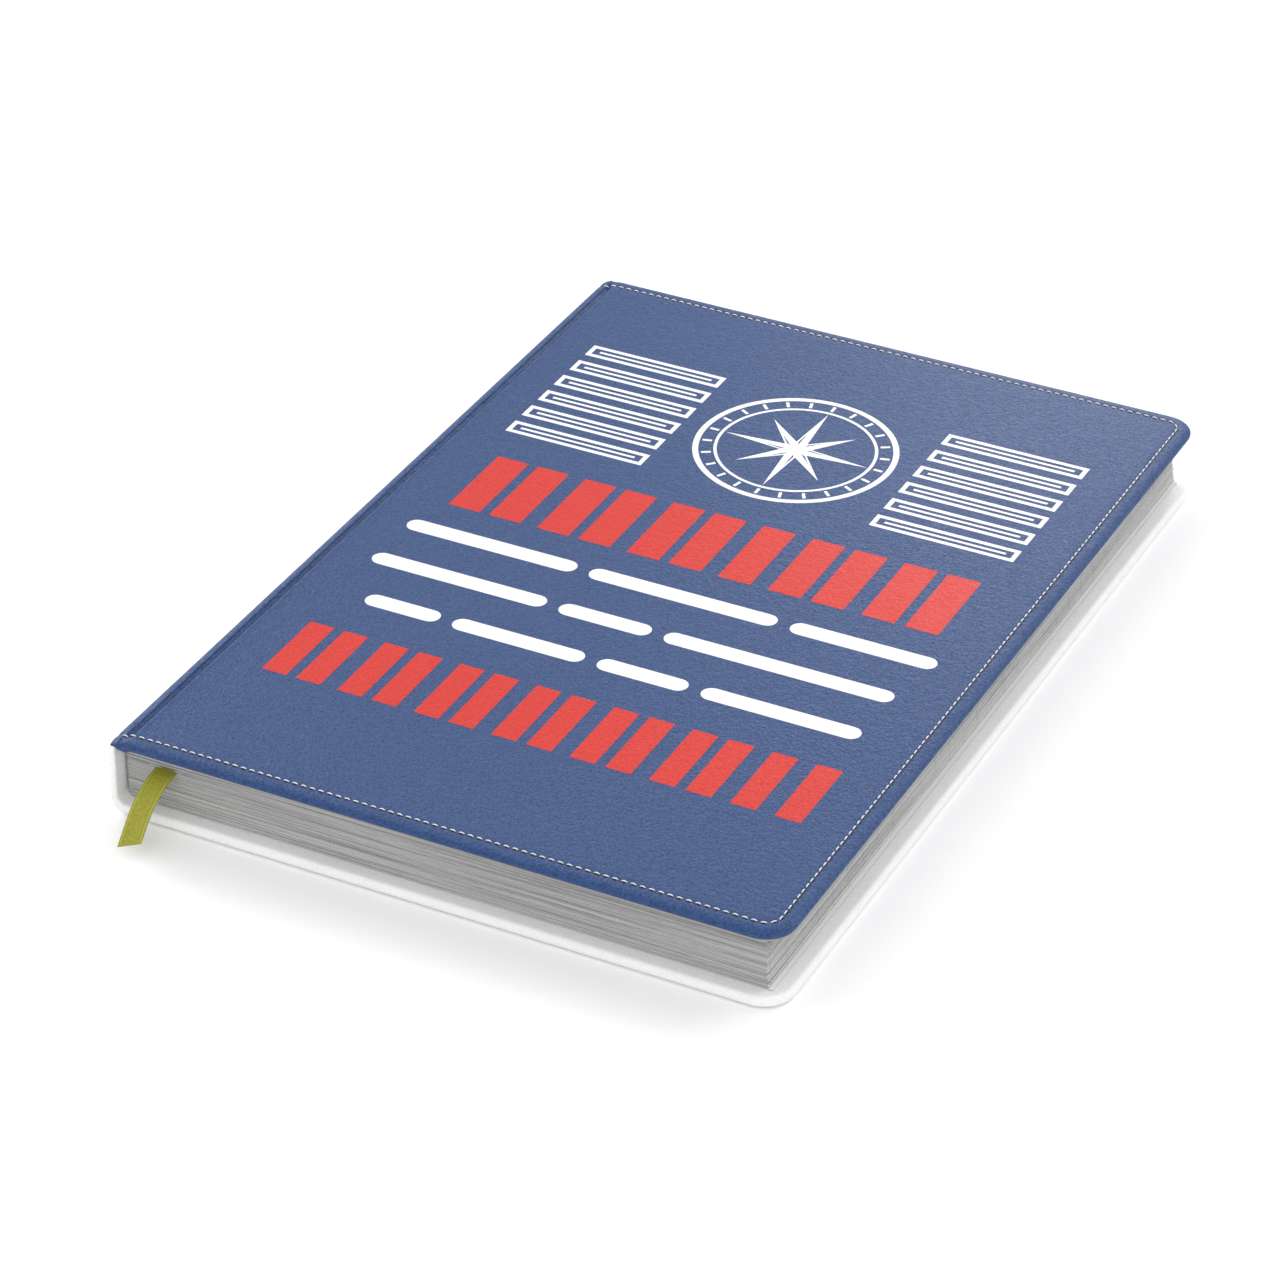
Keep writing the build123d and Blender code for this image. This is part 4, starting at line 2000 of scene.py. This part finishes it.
    def opening_signature(self, number: int) -> None:
        """Makes a signature above the ribbon and hides the nodes that it stands for.

        Args:
            number: its number, counted from the front.
        """
        fold, leaves = f"signature_{number:02d}_fold", f"signature_{number:02d}_leaves"
        piece = Mesher(f"signature_{number:02d}_stacks")
        self.stacks_of(piece, span(fold)[0], span(leaves)[1])
        body = f"opening_signature_{number}"
        made = piece.build(LEAF_PAPER, self.crease)
        self.curl(f"{body}_turn", body).apply(made, "leaf_paper", [fold, leaves])

    def flyleaves(self) -> None:
        """Makes the free halves of the endpapers."""
        fold, leaf = "front_flyleaf_edge", "front_flyleaf"
        front = Mesher("front_flyleaf_sheet")
        self.stack(front, span(fold)[0], span(leaf)[1], ragged=0.5)
        made = front.build(ENDPAPER, self.crease)
        self.curl("front_flyleaf_turn", leaf).apply(made, "endpaper", [fold, leaf])
        back = Mesher("back_flyleaf_sheet")
        self.stack(back, *span("back_flyleaf"), ragged=0.3)
        fasten(back.build(ENDPAPER, self.crease), "book_block", ["back_flyleaf"])

    def build(self) -> None:
        """Makes every leaf of the block."""
        for number in range(1, self.signatures + 1):
            if number <= self.opening:
                self.opening_signature(number)
            else:
                self.closed_signature(number)
        self.flyleaves()


# The studio.


@dataclass(frozen=True)
class Lamp:
    """Soft square lamp that faces the book: its place and side in metres, its power in watts."""

    name: str
    place: Point
    side: float
    energy: float
    gloss_only: bool = False

    def hang(self) -> None:
        """Adds the lamp to the scene."""
        data = bpy.data.lights.new(self.name, "AREA")
        data.size = self.side
        data.energy = self.energy
        lamp = bpy.data.objects.new(self.name, data)
        lamp.location = self.place
        lamp.rotation_euler = (-Vector(self.place)).to_track_quat("-Z", "Y").to_euler()
        bpy.context.scene.collection.objects.link(lamp)
        if self.gloss_only:
            lamp.visible_camera = False
            lamp.visible_diffuse = False


@dataclass
class Studio:
    """Camera, pale floor and soft lights."""

    azimuth: float = 26.445
    elevation: float = 32.709
    roll: float = 0.364
    distance: float = 971.5
    offset: Spot = (-9.274, -13.217)
    target: Point = (0.35, 0.0, 16.5)
    lens: float = 131.25
    sensor: float = 36.0
    lamps: tuple[Lamp, ...] = (
        Lamp("key", (0.75, 0.95, 1.05), 0.8, 5.5),
        Lamp("fill", (0.5, -1.2, 0.9), 1.4, 5.0),
        Lamp("rim", (-1.0, 0.55, 0.55), 0.4, 5.5),
        Lamp("sheen", (-0.03, 0.32, 0.15), 0.12, 0.3, gloss_only=True),
    )
    sky: float = 0.92
    floor: Finish = Finish("pale_floor", (0.98, 0.98, 0.98))
    floor_half: float = 3000.0
    floor_levels: Spot = (-20.0, -0.02)

    def camera(self) -> None:
        """Places the camera that looks down at the book from beyond its near fore-edge corner."""
        a, e, r = radians(self.azimuth), radians(self.elevation), radians(self.roll)
        back = Vector((sin(a) * cos(e), -cos(a) * cos(e), sin(e)))
        right = Vector((cos(a), sin(a), 0.0))
        up = back.cross(right)
        across = right * cos(r) + up * sin(r)
        upward = up * cos(r) - right * sin(r)
        place = Vector(self.target) + across * self.offset[0] + upward * self.offset[1]
        place += back * self.distance
        data = bpy.data.cameras.new("camera")
        data.lens = self.lens
        data.sensor_width = self.sensor
        data.clip_start = 0.01
        camera = bpy.data.objects.new("camera", data)
        bpy.context.scene.collection.objects.link(camera)
        columns = [axis.to_4d() for axis in (across, upward, back, place * MM)]
        for axis in columns[:3]:
            axis.w = 0.0
        camera.matrix_world = Matrix(columns).transposed()
        bpy.context.scene.camera = camera

    def build(self) -> None:
        """Makes the floor, the sky and the lamps, and places the camera."""
        ground = Mesher("floor")
        side = self.floor_half
        outline = [(-side, -side), (side, -side), (side, side), (-side, side)]
        ground.prism(outline, *self.floor_levels)
        ground.build(self.floor)
        world = bpy.data.worlds.new("studio")
        world.use_nodes = True
        background = world.node_tree.nodes["Background"]
        background.inputs["Color"].default_value = (1.0, 1.0, 1.0, 1.0)
        background.inputs["Strength"].default_value = self.sky
        bpy.context.scene.world = world
        for lamp in self.lamps:
            lamp.hang()
        bpy.context.scene.view_settings.view_transform = "Standard"
        self.camera()


def main() -> None:
    """Dresses the frame, sub-assembly by sub-assembly."""
    logging.basicConfig(level=logging.INFO, format="%(name)s: %(message)s")
    dress_packed_nodes()
    Studio().build()
    route = Ribbon().build()
    Case().build()
    LeafBlock(route).build()
    bpy.context.view_layer.update()


if __name__ == "__main__":
    main()
